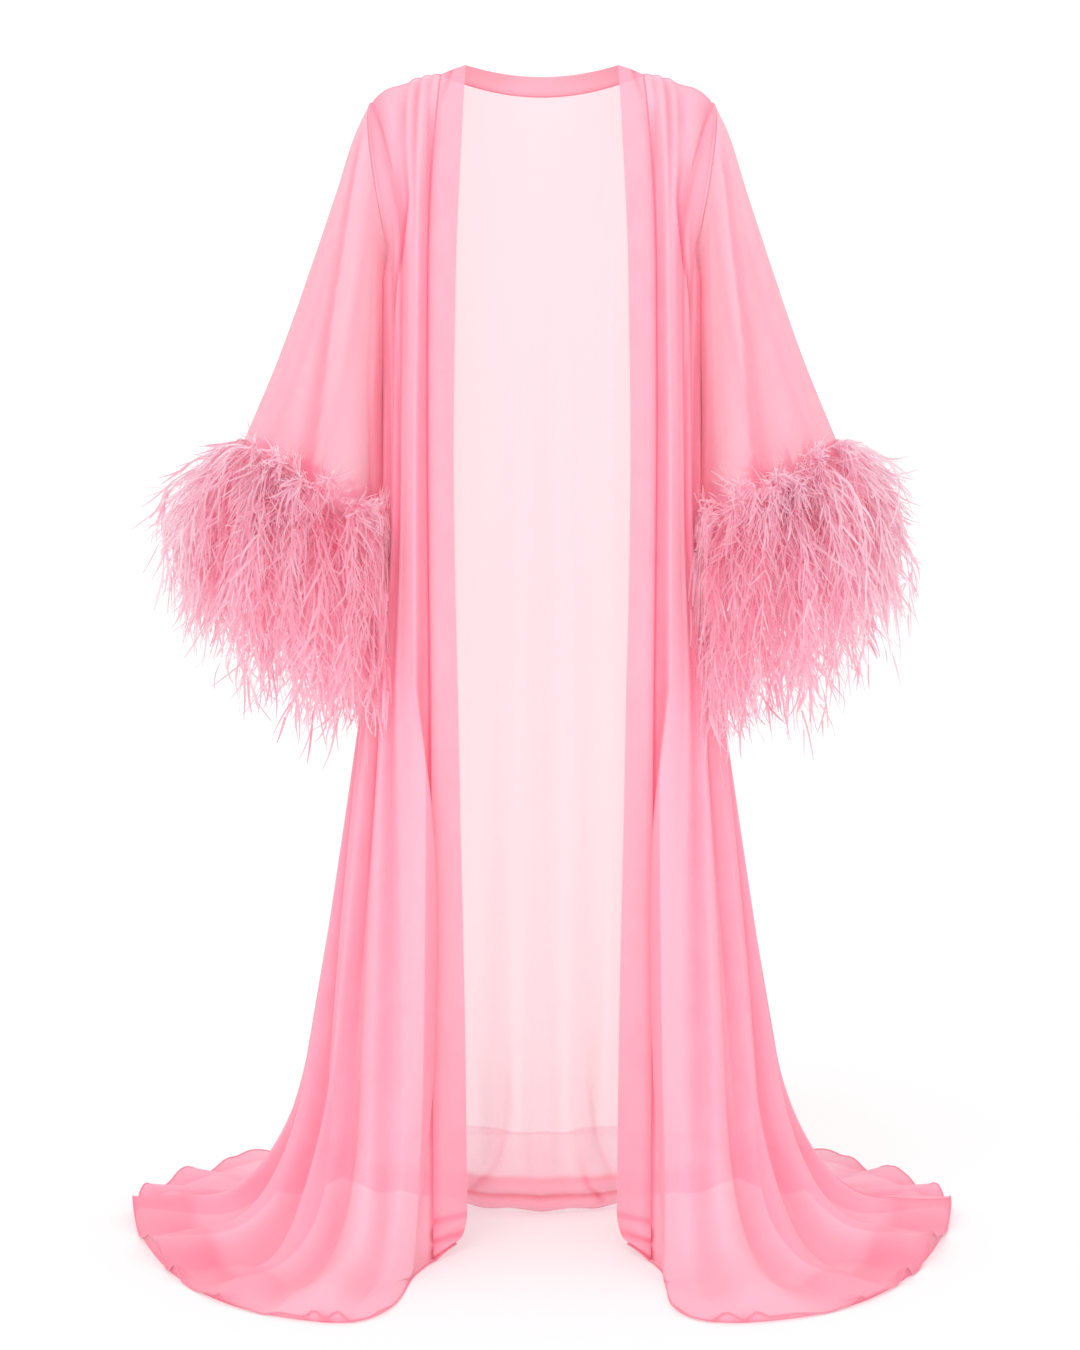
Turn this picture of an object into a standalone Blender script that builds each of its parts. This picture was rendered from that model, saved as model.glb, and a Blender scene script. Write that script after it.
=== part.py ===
"""Feather cover-up: a sheer full-length open robe with bell sleeves, feather cuffs and a pooled train."""
import math

import bpy
import numpy as np

for old in list(bpy.data.objects):
    bpy.data.objects.remove(old, do_unlink=True)

# Driving dimensions in metres, origin between the shoulder neck points, front towards -Y
FLOOR_Z = -1.44
WALL = 0.0012
BAND_WALL = 0.0016
SEAM_GAP = 0.0003
NECK_GAP = 0.0005
FOOT_EASE = 0.0006
CHEST_Z = -0.26
HIP_Z = -0.75
SQUARENESS = 2.5

# Shoulder, neck and armhole
NECK_EDGE = (-0.0925, 0.0, 0.0)
NECK_SEAM = (-0.123, 0.0, -0.0115)
SHOULDER_TIP = (-0.2065, 0.0, -0.0456)
SHOULDER_RISE = 0.006
UNDERARM = (-0.187, 0.0, -0.218)
ARMHOLE_BULGE_X = -0.013
ARMHOLE_BULGE_Y = 0.056
BACK_NECK_SEAM_Y = 0.064
BACK_NECK_SEAM_Z = -0.031
BACK_NECK_TOP_Y = 0.062
BACK_NECK_TOP_Z = -0.007

# Hanging sections, a row for each height
SECTION_COLUMNS = ("z", "seam_x", "front_y", "half_width", "back_y")
SECTIONS = (
    (-0.26, 0.1350, -0.110, 0.185, 0.100),
    (-0.42, 0.1360, -0.115, 0.184, 0.106),
    (-0.58, 0.1350, -0.119, 0.186, 0.111),
    (-0.75, 0.1330, -0.122, 0.208, 0.118),
)

# Hem on the floor, a row for each place around: 0 band seam, 1 side seam, 2 centre back
HEM_COLUMNS = ("around", "x", "y", "cone", "bend")
HEM = (
    (0.00, -0.128, -0.128, 0.30, 0.30),
    (0.08, -0.150, -0.195, 0.30, 0.40),
    (0.18, -0.168, -0.335, 0.30, 0.50),
    (0.30, -0.207, -0.410, 0.30, 0.55),
    (0.45, -0.285, -0.396, 0.31, 0.60),
    (0.62, -0.378, -0.310, 0.32, 0.60),
    (0.80, -0.460, -0.140, 0.33, 0.60),
    (1.00, -0.522, 0.120, 0.33, 0.60),
    (1.22, -0.486, 0.275, 0.30, 0.55),
    (1.45, -0.385, 0.455, 0.17, 0.36),
    (1.70, -0.225, 0.590, 0.03, 0.10),
    (2.00, 0.000, 0.635, 0.00, 0.03),
)
BEND_START = 0.68

# Folds, a row for each: place at chest and hem, reach to each side, depths going down, lean to the front
FOLD_COLUMNS = ("chest_at", "hem_at", "before", "after", "chest", "hip", "foot", "hem", "lean")
FOLDS = (
    (0.13, 0.22, 0.100, 0.25, 0.016, 0.028, 0.014, 0.008, 0.42),
    (0.44, 0.40, 0.085, 0.10, 0.010, 0.016, 0.030, 0.016, 0.35),
    (0.71, 0.55, 0.095, 0.09, 0.013, 0.014, 0.024, 0.016, -0.05),
    (0.84, 0.72, 0.080, 0.09, 0.000, 0.010, 0.026, 0.018, 0.10),
    (1.00, 0.90, 0.075, 0.08, 0.000, 0.004, 0.026, 0.011, 0.00),
    (1.16, 1.09, 0.080, 0.09, 0.002, 0.008, 0.024, 0.009, 0.00),
    (1.33, 1.27, 0.085, 0.08, 0.002, 0.005, 0.020, 0.008, 0.00),
    (1.52, 1.46, 0.090, 0.09, 0.003, 0.008, 0.022, 0.010, 0.00),
    (1.72, 1.66, 0.090, 0.09, 0.002, 0.005, 0.012, 0.010, 0.00),
    (1.90, 1.86, 0.085, 0.08, 0.003, 0.006, 0.010, 0.012, 0.00),
)
PLEAT_DRAW = 0.45
LEFT_DEPTH = 0.94
LEFT_SHIFT = 0.012
LEFT_SLEEVE_SPREAD = 0.97

# Two soft rolls where the centre back breaks on the floor: height of crest, half height, forward reach
ROLL_COLUMNS = ("height", "half", "reach")
ROLLS = ((0.033, 0.013, 0.013), (0.011, 0.011, 0.014))
ROLL_SPREAD = 0.70

# Front band
BAND_WIDTH_COLUMNS = ("z", "across", "back_set")
BAND_WIDTHS = (
    (0.00, 0.0305, 0.000),
    (-0.11, 0.0330, 0.006),
    (-0.26, 0.0320, 0.008),
    (-0.53, 0.0300, 0.008),
    (-0.87, 0.0340, 0.010),
    (-1.15, 0.0390, 0.016),
    (-1.44, 0.0405, 0.048),
)

# Sleeve sections, a row for each share of the length
SLEEVE_COLUMNS = ("along", "outer_x", "outer_z", "inner_x", "inner_z", "half_depth")
SLEEVE = (
    (0.00, -0.2065, -0.0456, -0.1900, -0.220, 0.066),
    (0.10, -0.2237, -0.0793, -0.1930, -0.250, 0.072),
    (0.30, -0.2495, -0.1613, -0.1932, -0.332, 0.082),
    (0.53, -0.2803, -0.2580, -0.1935, -0.420, 0.088),
    (0.78, -0.3200, -0.3637, -0.1945, -0.510, 0.092),
    (1.00, -0.3665, -0.4680, -0.1965, -0.580, 0.094),
)
SLEEVE_ROWS = (0.0, 0.05, 0.10, 0.20, 0.32, 0.45, 0.58, 0.70, 0.82, 0.93, 0.965, 1.0)
SLEEVE_BLEND = 0.40
ARMHOLE_GAP = 0.0010
ARMHOLE_STEP = 0.0015
SLEEVE_FOLD_COLUMNS = ("turn", "half", "depth")
SLEEVE_FOLDS = (
    (0.13, 0.08, 0.010),
    (0.30, 0.07, 0.013),
    (0.60, 0.08, 0.008),
    (0.80, 0.09, 0.012),
)

# Feather cuffs
STRIP_WALL = 0.0035
PER_COLUMN = 2
BARE_TURN = 0.15
LOCK_STEPS = (0.30, 0.66, 1.0)
LOCK_TAPERS = {"rim": (0.88, 0.66, 0.0), "low": (0.76, 0.58, 0.0), "high": (0.62, 0.45, 0.0)}
RIM_LOCK = 0.248
LOW_LOCK = 0.200
HIGH_LOCK = 0.080

# Rows of points going down: 0 to 1 over the shoulder, to 2 hanging, to 3 bending, to 4 on the floor
ROWS = (
    0.0, 0.10, 0.22, 0.38, 0.58, 0.80, 1.0, 1.14, 1.30, 1.46, 1.62, 1.80, 2.0,
    2.20, 2.38, 2.48, 2.56, 2.63, 2.70, 2.78, 2.88, 3.0, 3.25, 3.5, 3.75, 4.0,
)
TIP_AT = 0.28
SEAM_MARGIN = 0.025
BACK_TIP_AT = 1.38
BACK_NECK_AT = 1.54
STEP = 0.004


def column(table, names, name):
    return np.array([row[names.index(name)] for row in table])


def through(xs, ys, x):
    """Smooth curve through a table, flat beyond its ends."""
    x = np.clip(x, xs[0], xs[-1])
    slope = np.gradient(ys, xs)
    i = np.clip(np.searchsorted(xs, x, side="right") - 1, 0, len(xs) - 2)
    gap = xs[i + 1] - xs[i]
    t = (x - xs[i]) / gap
    first = (1 + 2 * t) * (1 - t) ** 2 * ys[i] + t * (1 - t) ** 2 * gap * slope[i]
    second = t * t * (3 - 2 * t) * ys[i + 1] + t * t * (t - 1) * gap * slope[i + 1]
    return first + second


def ease(x):
    x = np.clip(x, 0.0, 1.0)
    return x * x * (3 - 2 * x)


def bump(x):
    """Soft ridge, 1 at the middle and 0 from -1 and 1 outwards."""
    return np.cos(np.clip(x, -1.0, 1.0) * math.pi / 2) ** 2


def unit(vectors):
    return vectors / np.maximum(np.linalg.norm(vectors, axis=-1, keepdims=True), 1e-12)


def section_size(z, name):
    heights = -column(SECTIONS, SECTION_COLUMNS, "z")
    return float(through(heights, column(SECTIONS, SECTION_COLUMNS, name), np.array([-z]))[0])


def along_curve(points, share):
    """Points at even shares of a curve's length."""
    lengths = np.concatenate([[0.0], np.cumsum(np.linalg.norm(np.diff(points, axis=0), axis=1))])
    lengths /= lengths[-1]
    return np.stack([np.interp(share, lengths, points[:, k]) for k in range(points.shape[1])], axis=1)


def section(z, w):
    """Right half of the hanging body at one height, from band seam over side seam to centre back."""
    half = section_size(z, "half_width")
    front = section_size(z, "front_y")
    back = section_size(z, "back_y")
    power = 2.0 / SQUARENESS
    first = math.asin((section_size(z, "seam_x") / half) ** (1 / power))
    a = np.linspace(first, math.pi / 2, 80)
    fore = np.stack([-half * np.sin(a) ** power, front * np.cos(a).clip(0) ** power], axis=1)
    b = np.linspace(math.pi / 2, 0.0, 100)
    aft = np.stack([-half * np.sin(b) ** power, back * np.cos(b).clip(0) ** power], axis=1)
    ahead = along_curve(fore, w.clip(0, 1))
    behind = along_curve(aft, (w - 1).clip(0, 1))
    flat = np.where((w <= 1.0)[:, None], ahead, behind)
    return np.column_stack([flat, np.full(len(w), z)])


def shoulder_line(share):
    a = np.array(NECK_SEAM)
    b = np.array(SHOULDER_TIP)
    points = a + (b - a) * share[:, None]
    points[:, 2] += SHOULDER_RISE * np.sin(share * math.pi)
    return points


def armhole_line(share, face):
    """Armhole from shoulder tip to underarm, face -1 in front and 1 behind."""
    a = np.array(SHOULDER_TIP)
    b = np.array(UNDERARM)
    turn = np.sin(share * math.pi)
    points = a + (b - a) * ((1 - np.cos(share * math.pi)) / 2)[:, None]
    points[:, 0] += ARMHOLE_BULGE_X * np.sin(share * math.pi * 0.9) * (1 - share)
    points[:, 1] += face * ARMHOLE_BULGE_Y * turn
    return points


def armhole_share(part):
    """Share of the armhole at a part of the panel's width, quicker near the shoulder tip."""
    return 1 - (1 - np.clip(part, 0, 1)) ** 1.5


def neck_line(share):
    """Back neck seam from shoulder to centre back."""
    a = np.array(NECK_SEAM)
    hollow = 1 - (1 - share) ** 2
    x = a[0] * (1 - share)
    y = BACK_NECK_SEAM_Y * hollow
    z = a[2] + (BACK_NECK_SEAM_Z - a[2]) * hollow
    return np.stack([x, y, z], axis=1)


def top_edge(w):
    fore = shoulder_line((w / TIP_AT).clip(0, 1))
    fore_hole = armhole_line(armhole_share((w - TIP_AT) / (1 - TIP_AT)), -1)
    aft_hole = armhole_line(armhole_share((BACK_TIP_AT - w) / (BACK_TIP_AT - 1)), 1)
    aft = shoulder_line(((BACK_NECK_AT - w) / (BACK_NECK_AT - BACK_TIP_AT)).clip(0, 1))
    neck = neck_line(((w - BACK_NECK_AT) / (2 - BACK_NECK_AT)).clip(0, 1))
    points = np.where((w > TIP_AT)[:, None], fore_hole, fore)
    points = np.where((w > 1.0)[:, None], aft_hole, points)
    points = np.where((w > BACK_TIP_AT)[:, None], aft, points)
    return np.where((w > BACK_NECK_AT)[:, None], neck, points)


def over_shoulder(w):
    """How far each place starts out level over the shoulder, 0 at the underarm."""
    fore = 1 - ease((w - TIP_AT * 0.7) / 0.50)
    aft = ease((w - 1.06) / 0.34) * (1 - 0.7 * ease((w - BACK_NECK_AT) / 0.4))
    return np.where(w <= 1.0, fore, aft)


def base_row(v, w):
    """One row of the smooth robe, before its folds."""
    if v <= 1.0:
        top = top_edge(w)
        chest = section(CHEST_Z, w)
        up = unit(chest - section(CHEST_Z - 0.03, w))
        drop = (top[:, 2] - chest[:, 2])[:, None]
        level = over_shoulder(w)[:, None]
        away = chest - top
        out = away * np.array([0.25, 0.90, 0.16])
        straight = away / 3
        p1 = top + out * level + straight * (1 - level)
        p2 = chest + up * drop * 0.45
        t = v
        return (1 - t) ** 3 * top + 3 * t * (1 - t) ** 2 * p1 + 3 * t * t * (1 - t) * p2 + t ** 3 * chest
    span = HIP_Z - FLOOR_Z
    bend_z = HIP_Z - BEND_START * span
    if v <= 2.0:
        z = CHEST_Z + (v - 1) * (bend_z - CHEST_Z)
        if z >= HIP_Z:
            return section(z, w)
    places = column(HEM, HEM_COLUMNS, "around")
    hem = np.stack([through(places, column(HEM, HEM_COLUMNS, name), w) for name in ("x", "y")], axis=1)
    share = through(places, column(HEM, HEM_COLUMNS, "bend"), w)[:, None]
    cone = through(places, column(HEM, HEM_COLUMNS, "cone"), w)
    hip = section(HIP_Z, w)
    low = FLOOR_Z + WALL / 2
    reach = np.column_stack([hem, np.full(len(w), low)])
    foot = hip + (reach - hip) * np.stack([cone, cone, np.ones(len(w))], axis=1)
    if v <= 2.0:
        return hip + (foot - hip) * (HIP_Z - z) / span
    start = hip + (foot - hip) * BEND_START
    end = foot + (reach - foot) * share
    if v <= 3.0:
        t = v - 2
        return (1 - t) ** 2 * start + 2 * t * (1 - t) * foot + t * t * end
    return end + (reach - end) * (v - 3)


def fold_height(v, w, side_depth, side_shift):
    """Height of all folds over the smooth robe, and how far each crest leans to the front."""
    height = np.zeros(len(w))
    lean = np.zeros(len(w))
    settle = float(ease(np.array((v - 1.2) / 1.8)))
    for row in FOLDS:
        fold = dict(zip(FOLD_COLUMNS, row))
        depths = np.array([fold["chest"], fold["hip"], fold["foot"], fold["hem"]])
        depth = float(through(np.array([1.0, 1.6, 2.5, 4.0]), depths, np.array([v]))[0])
        at = fold["chest_at"] + (fold["hem_at"] - fold["chest_at"]) * settle + side_shift
        if v < 1.0 and fold["chest_at"] < 0.5:
            at = at * float(PLEAT_DRAW + (1 - PLEAT_DRAW) * ease(np.array(v)))
        offset = w - at
        reach = np.where(offset < 0, fold["before"], fold["after"])
        ridge = max(depth, 0.0) * bump(offset / reach) * side_depth
        height += ridge
        lean += ridge * fold["lean"]
    start = np.where(w < TIP_AT, ease(np.array(v / 0.5)), ease(np.array((v - 0.55) / 0.75)))
    quiet = start * ease((w - SEAM_MARGIN) / 0.03) * ease((2.0 - w) / 0.05 + 0.6)
    fade = 1 - ease(np.array((v - 2.3) / 1.2))
    return height * quiet, lean * quiet * fade


def half_cloth(v, w, side_depth, side_shift):
    """One row of the right half with its folds."""
    here = base_row(v, w)
    across = unit(base_row(v, (w + STEP).clip(0, 2)) - base_row(v, (w - STEP).clip(0, 2)))
    down = unit(base_row(min(v + STEP, 4.0), w) - base_row(max(v - STEP, 0.0), w))
    out = unit(np.cross(across, down))
    height, lean = fold_height(v, w, side_depth, side_shift)
    points = here + out * height[:, None] - across * lean[:, None]
    above = here[:, 2] - FLOOR_Z
    if 2.0 < v <= 3.0:
        near = ease((w - (2 - ROLL_SPREAD)) / ROLL_SPREAD)
        for row in ROLLS:
            roll = dict(zip(ROLL_COLUMNS, row))
            points[:, 1] -= roll["reach"] * near * bump((above - roll["height"]) / roll["half"])
    points[:, 2] = np.maximum(points[:, 2], FLOOR_Z + WALL / 2)
    return points


def cloth_row(v, w):
    """One row right round the robe, 0 at the right band seam, 2 at centre back, 4 at the left band seam."""
    left = w > 2.0
    right_half = half_cloth(v, np.where(left, 4 - w, w).clip(0, 2), 1.0, 0.0)
    left_half = half_cloth(v, np.where(left, 4 - w, w).clip(0, 2), LEFT_DEPTH, LEFT_SHIFT)
    mix = ease((w - 1.8) / 0.4)[:, None]
    points = right_half * (1 - mix) + left_half * mix
    points[left, 0] *= -1
    return points


def grid_normals(points, ring=False):
    """Outward normals of a grid, the mean of the faces that meet at each point."""
    grid = np.concatenate([points[:, -1:], points, points[:, :1]], axis=1) if ring else points
    cross = np.cross(grid[1:, 1:] - grid[:-1, :-1], grid[1:, :-1] - grid[:-1, 1:])
    faces = unit(cross)
    total = np.zeros(grid.shape)
    total[:-1, :-1] += faces
    total[:-1, 1:] += faces
    total[1:, :-1] += faces
    total[1:, 1:] += faces
    normals = unit(total)
    return normals[:, 1:-1] if ring else normals


def cloth_grid(ws, rows, before=None, after=None):
    """Points and outward normals of a panel; the places before and after it lie beyond its seams."""
    places = list(ws)
    if before is not None:
        places = [before] + places
    if after is not None:
        places = places + [after]
    points = np.array([cloth_row(v, np.array(places)) for v in rows])
    normals = grid_normals(points)
    first = 0 if before is None else 1
    return points[:, first:first + len(ws)], normals[:, first:first + len(ws)]


def even_columns(start, stop, count):
    """Places evenly spaced along the folded cloth."""
    dense = np.linspace(start, stop, 240)
    points = 0.5 * (cloth_row(1.75, dense) + cloth_row(2.4, dense))
    lengths = np.concatenate([[0.0], np.cumsum(np.linalg.norm(np.diff(points, axis=0), axis=1))])
    lengths = 0.7 * lengths / lengths[-1] + 0.3 * np.linspace(0, 1, 240)
    return np.interp(np.linspace(0, 1, count + 1), lengths, dense)


collection = bpy.data.collections.new("feather_cover_up")
bpy.context.scene.collection.children.link(collection)


def material(name, colour, roughness):
    made = bpy.data.materials.new(name)
    made.use_nodes = True
    shader = made.node_tree.nodes["Principled BSDF"]
    shader.inputs["Base Color"].default_value = (*colour, 1.0)
    shader.inputs["Roughness"].default_value = roughness
    return made


def add_mesh(name, verts, faces, colour, roughness=0.7):
    mesh = bpy.data.meshes.new(name)
    mesh.from_pydata([tuple(map(float, p)) for p in verts], [], [tuple(map(int, f)) for f in faces])
    mesh.materials.append(material(name, colour, roughness))
    made = bpy.data.objects.new(name, mesh)
    collection.objects.link(made)
    return made


def shell(name, points, normals, wall, colour, ring=False):
    """Closed wall of even thickness on a grid of points; a ring joins its last column to its first."""
    rows, cols = points.shape[:2]
    outer = points + normals * wall / 2
    inner = points - normals * wall / 2
    verts = np.concatenate([outer.reshape(-1, 3), inner.reshape(-1, 3)])
    under = rows * cols
    faces = []
    wide = cols if ring else cols - 1
    for i in range(rows - 1):
        for j in range(wide):
            k = (j + 1) % cols
            a, b, c, d = i * cols + j, i * cols + k, (i + 1) * cols + k, (i + 1) * cols + j
            for corner in ((a, b, c), (a, c, d)):
                faces.append(corner)
                faces.append(tuple(p + under for p in reversed(corner)))
    for j in range(wide):
        k = (j + 1) % cols
        low = (rows - 1) * cols
        faces.append((k, j, j + under, k + under))
        faces.append((low + j, low + k, low + k + under, low + j + under))
    if not ring:
        for i in range(rows - 1):
            a, b = i * cols, (i + 1) * cols
            faces.append((a, b, b + under, a + under))
            a, b = a + cols - 1, b + cols - 1
            faces.append((b, a, a + under, b + under))
    return add_mesh(name, verts, faces, colour)


def flatten_top(points, normals, mask, face):
    """Sets a panel's shoulder edge just clear of the shoulder line, its rim upright."""
    points[0, mask, 1] = face * SEAM_GAP / 2
    normals[0, mask, 1] = 0.0
    normals[0] = unit(normals[0])


def pull_back(points, col, toward):
    """Draws an edge column back from its seam by half the seam gap."""
    step = unit(points[:, toward] - points[:, col])
    points[:, col] += step * SEAM_GAP / 2


PINK = (0.93, 0.42, 0.52)
DEEP_PINK = (0.86, 0.30, 0.42)
FEATHER_PINK = (0.90, 0.36, 0.47)

front_cols = np.concatenate([
    [0.0],
    even_columns(SEAM_MARGIN, TIP_AT, 8),
    even_columns(TIP_AT, 1.0, 15)[1:],
])
back_half = np.concatenate([
    even_columns(1.0, BACK_TIP_AT, 8),
    even_columns(BACK_TIP_AT, BACK_NECK_AT, 3)[1:],
    even_columns(BACK_NECK_AT, 2.0, 5)[1:],
])
back_cols = np.concatenate([back_half, (4 - back_half)[::-1][1:]])

sides = {"right": 1.0, "left": -1.0}


def band_grid(seam, sign):
    """Front band from its free edge to the seam, with normals."""
    heights = -column(BAND_WIDTHS, BAND_WIDTH_COLUMNS, "z")
    across = through(heights, column(BAND_WIDTHS, BAND_WIDTH_COLUMNS, "across"), -seam[:, 2])
    back_set = through(heights, column(BAND_WIDTHS, BAND_WIDTH_COLUMNS, "back_set"), -seam[:, 2])
    rise = (NECK_EDGE[2] - NECK_SEAM[2]) * (1 - ease(-seam[:, 2] / 0.09))
    edge = seam + np.stack([sign * across, back_set, rise], axis=1)
    edge[:, 2] = np.maximum(edge[:, 2], FLOOR_Z + BAND_WALL / 2)
    start = seam + unit(edge - seam) * SEAM_GAP / 2
    shares = np.linspace(1, 0, 4) if sign > 0 else np.linspace(0, 1, 4)
    band = start[:, None] + (edge - start)[:, None] * shares[None, :, None]
    turned = unit(np.cross(np.gradient(band, axis=1), np.gradient(band, axis=0)))
    turned[0, :, 1] = 0.0
    band[0, :, 1] = -SEAM_GAP / 2
    return band, unit(turned)


# Front panels and their bands
for side, sign in sides.items():
    cols = front_cols if sign > 0 else (4 - front_cols)[::-1]
    beyond = back_half[1]
    points, normals = cloth_grid(cols, ROWS, *((None, beyond) if sign > 0 else (4 - beyond, None)))
    seam_col, side_col = (0, -1) if sign > 0 else (-1, 0)
    flatten_top(points, normals, np.minimum(cols, 4 - cols) <= TIP_AT + 1e-9, -1)
    band, turned = band_grid(points[:, seam_col], sign)
    normals[:, seam_col] = turned[:, -1 if sign > 0 else 0]
    pull_back(points, seam_col, seam_col + int(sign))
    points[:, seam_col, 0] -= sign * FOOT_EASE * ease((np.array(ROWS) - 2.4) / 0.4)
    pull_back(points, side_col, side_col - int(sign))
    shell(side + "_front", points, normals, WALL, PINK)
    shell(side + "_front_band", band, turned, BAND_WALL, DEEP_PINK)

# Back panel
beyond = front_cols[-2]
back_points, back_normals = cloth_grid(back_cols, ROWS, beyond, 4 - beyond)
fold_w = np.minimum(back_cols, 4 - back_cols)
on_shoulder = (fold_w >= BACK_TIP_AT - 1e-9) & (fold_w <= BACK_NECK_AT + 1e-9)
flatten_top(back_points, back_normals, on_shoulder, 1)
neck_mask = fold_w >= BACK_NECK_AT - 1e-9
neck_seam = back_points[0, neck_mask].copy()
neck_normals = back_normals[0, neck_mask].copy()
pull_back(back_points, 0, 1)
pull_back(back_points, -1, -2)
shell("back", back_points, back_normals, WALL, PINK)

# Back neckband, on the back panel's neck seam points
seam = neck_seam
hollow = 1 - (seam[:, 0] / NECK_SEAM[0]) ** 2
top_x = seam[:, 0] * NECK_EDGE[0] / NECK_SEAM[0]
top_y = BACK_NECK_TOP_Y * hollow
top_z = BACK_NECK_TOP_Z * hollow
top = np.stack([top_x, top_y, top_z], axis=1)
step = unit(top - seam)
low = seam + step * NECK_GAP
levels = np.linspace(1, 0, 3)
neckband = low[None] + (top - low)[None] * levels[:, None, None]
neck_across = np.gradient(neckband, axis=1)
neck_down = np.gradient(neckband, axis=0)
turned = unit(np.cross(neck_across, neck_down))
turned[-1] = neck_normals
for end in (0, -1):
    neckband[:, end, 1] = SEAM_GAP / 2
    turned[:, end, 1] = 0.0
turned = unit(turned)
shell("back_neckband", neckband, turned, BAND_WALL, DEEP_PINK)


def sleeve_point(turn, along):
    """Right sleeve: turn 0 at the shoulder tip, 0.25 in front, 0.5 at the underarm, 0.75 behind."""
    shares = column(SLEEVE, SLEEVE_COLUMNS, "along")
    sizes = {}
    for name in SLEEVE_COLUMNS[1:]:
        sizes[name] = float(through(shares, column(SLEEVE, SLEEVE_COLUMNS, name), np.array([along]))[0])
    outer = np.array([sizes["outer_x"], 0.0, sizes["outer_z"]])
    inner = np.array([sizes["inner_x"], 0.0, sizes["inner_z"]])
    angle = turn[:, None] * 2 * math.pi
    forward = np.array([0.0, -sizes["half_depth"], 0.0])
    return (outer + inner) / 2 + np.cos(angle) * (outer - inner) / 2 + np.sin(angle) * forward


def sleeve_row(turn, along):
    """One ring of the right sleeve, from the armhole's own points to the hem."""
    fore = armhole_line((turn / 0.5).clip(0, 1), -1)
    aft = armhole_line(((1 - turn) / 0.5).clip(0, 1), 1)
    hole = np.where((turn <= 0.5)[:, None], fore, aft)
    hang = ((1 - np.cos(turn * 2 * math.pi)) / 2)[:, None]
    hole = hole + np.array([-1.0, 0.0, 0.0]) * (ARMHOLE_GAP + ARMHOLE_STEP * hang)
    start = sleeve_point(turn, 0.0)
    fade = (1 - min(along / SLEEVE_BLEND, 1.0)) ** 2
    points = sleeve_point(turn, along) + (hole - start) * fade
    centre = points.mean(axis=0)
    out = unit(points - centre)
    grow = float(ease(np.array((along - 0.08) / 0.7)))
    for row in SLEEVE_FOLDS:
        fold = dict(zip(SLEEVE_FOLD_COLUMNS, row))
        points = points + out * (fold["depth"] * grow * bump((turn - fold["turn"]) / fold["half"]))[:, None]
    return points


def sleeve_grid(turns, rows):
    points = np.array([sleeve_row(turns, a) for a in rows])
    return points, grid_normals(points, ring=True)


def mirror(points, normals, sign):
    """Turns the right side's ring into the left's, keeping its outside out."""
    if sign > 0:
        return points, normals
    flip = np.array([-1.0, 1.0, 1.0])
    points = points[:, ::-1] * flip
    tip = -SHOULDER_TIP[0] - ARMHOLE_BULGE_X
    points[..., 0] -= (1 - LEFT_SLEEVE_SPREAD) * np.maximum(points[..., 0] - tip, 0.0)
    return points, normals[:, ::-1] * flip


def turned_to(offsets, start, end):
    """Turns offsets by the shortest turn that takes one direction to another."""
    axis = np.cross(start, end)
    size = np.linalg.norm(axis)
    if size < 1e-9:
        return offsets
    axis = axis / size
    angle = math.atan2(size, float(np.dot(start, end)))
    along = np.outer(offsets @ axis, axis)
    return along + (offsets - along) * math.cos(angle) + np.cross(axis, offsets) * math.sin(angle)


def lock_path(kind, turn, root, out, fall, q, size):
    """Middle line of a feather lock, q from 0 at its root to 1 at its tip."""
    angle = turn * 2 * math.pi
    outer = (1 + math.cos(angle)) / 2
    lean = np.array([-(0.18 + 0.16 * outer ** 2), -0.22 * math.sin(angle), -1.0])
    down = np.array([0.0, 0.0, -1.0])
    out = out * np.array([1.0, 1.0, 1 - 0.9 * outer])
    if kind == "rim":
        return root + lean * RIM_LOCK * size * q * (0.55 + 0.45 * q) + fall * 0.02 * q * (1 - q)
    if kind == "low":
        reach = 0.045 + 0.055 * outer ** 2
        swing = 1 - (1 - q) ** 2
        return root + out * reach * swing + down * LOW_LOCK * size * q ** 1.5 + lean * 0.02 * q
    reach = HIGH_LOCK * size * (0.75 + 0.35 * outer)
    rise = -fall * (0.050 - 0.038 * outer) * size * math.sin(q * math.pi * 0.60)
    return root + out * reach * (1 - (1 - q) ** 1.6) * 0.8 + rise + down * (0.03 + 0.015 * outer) * q ** 2


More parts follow.
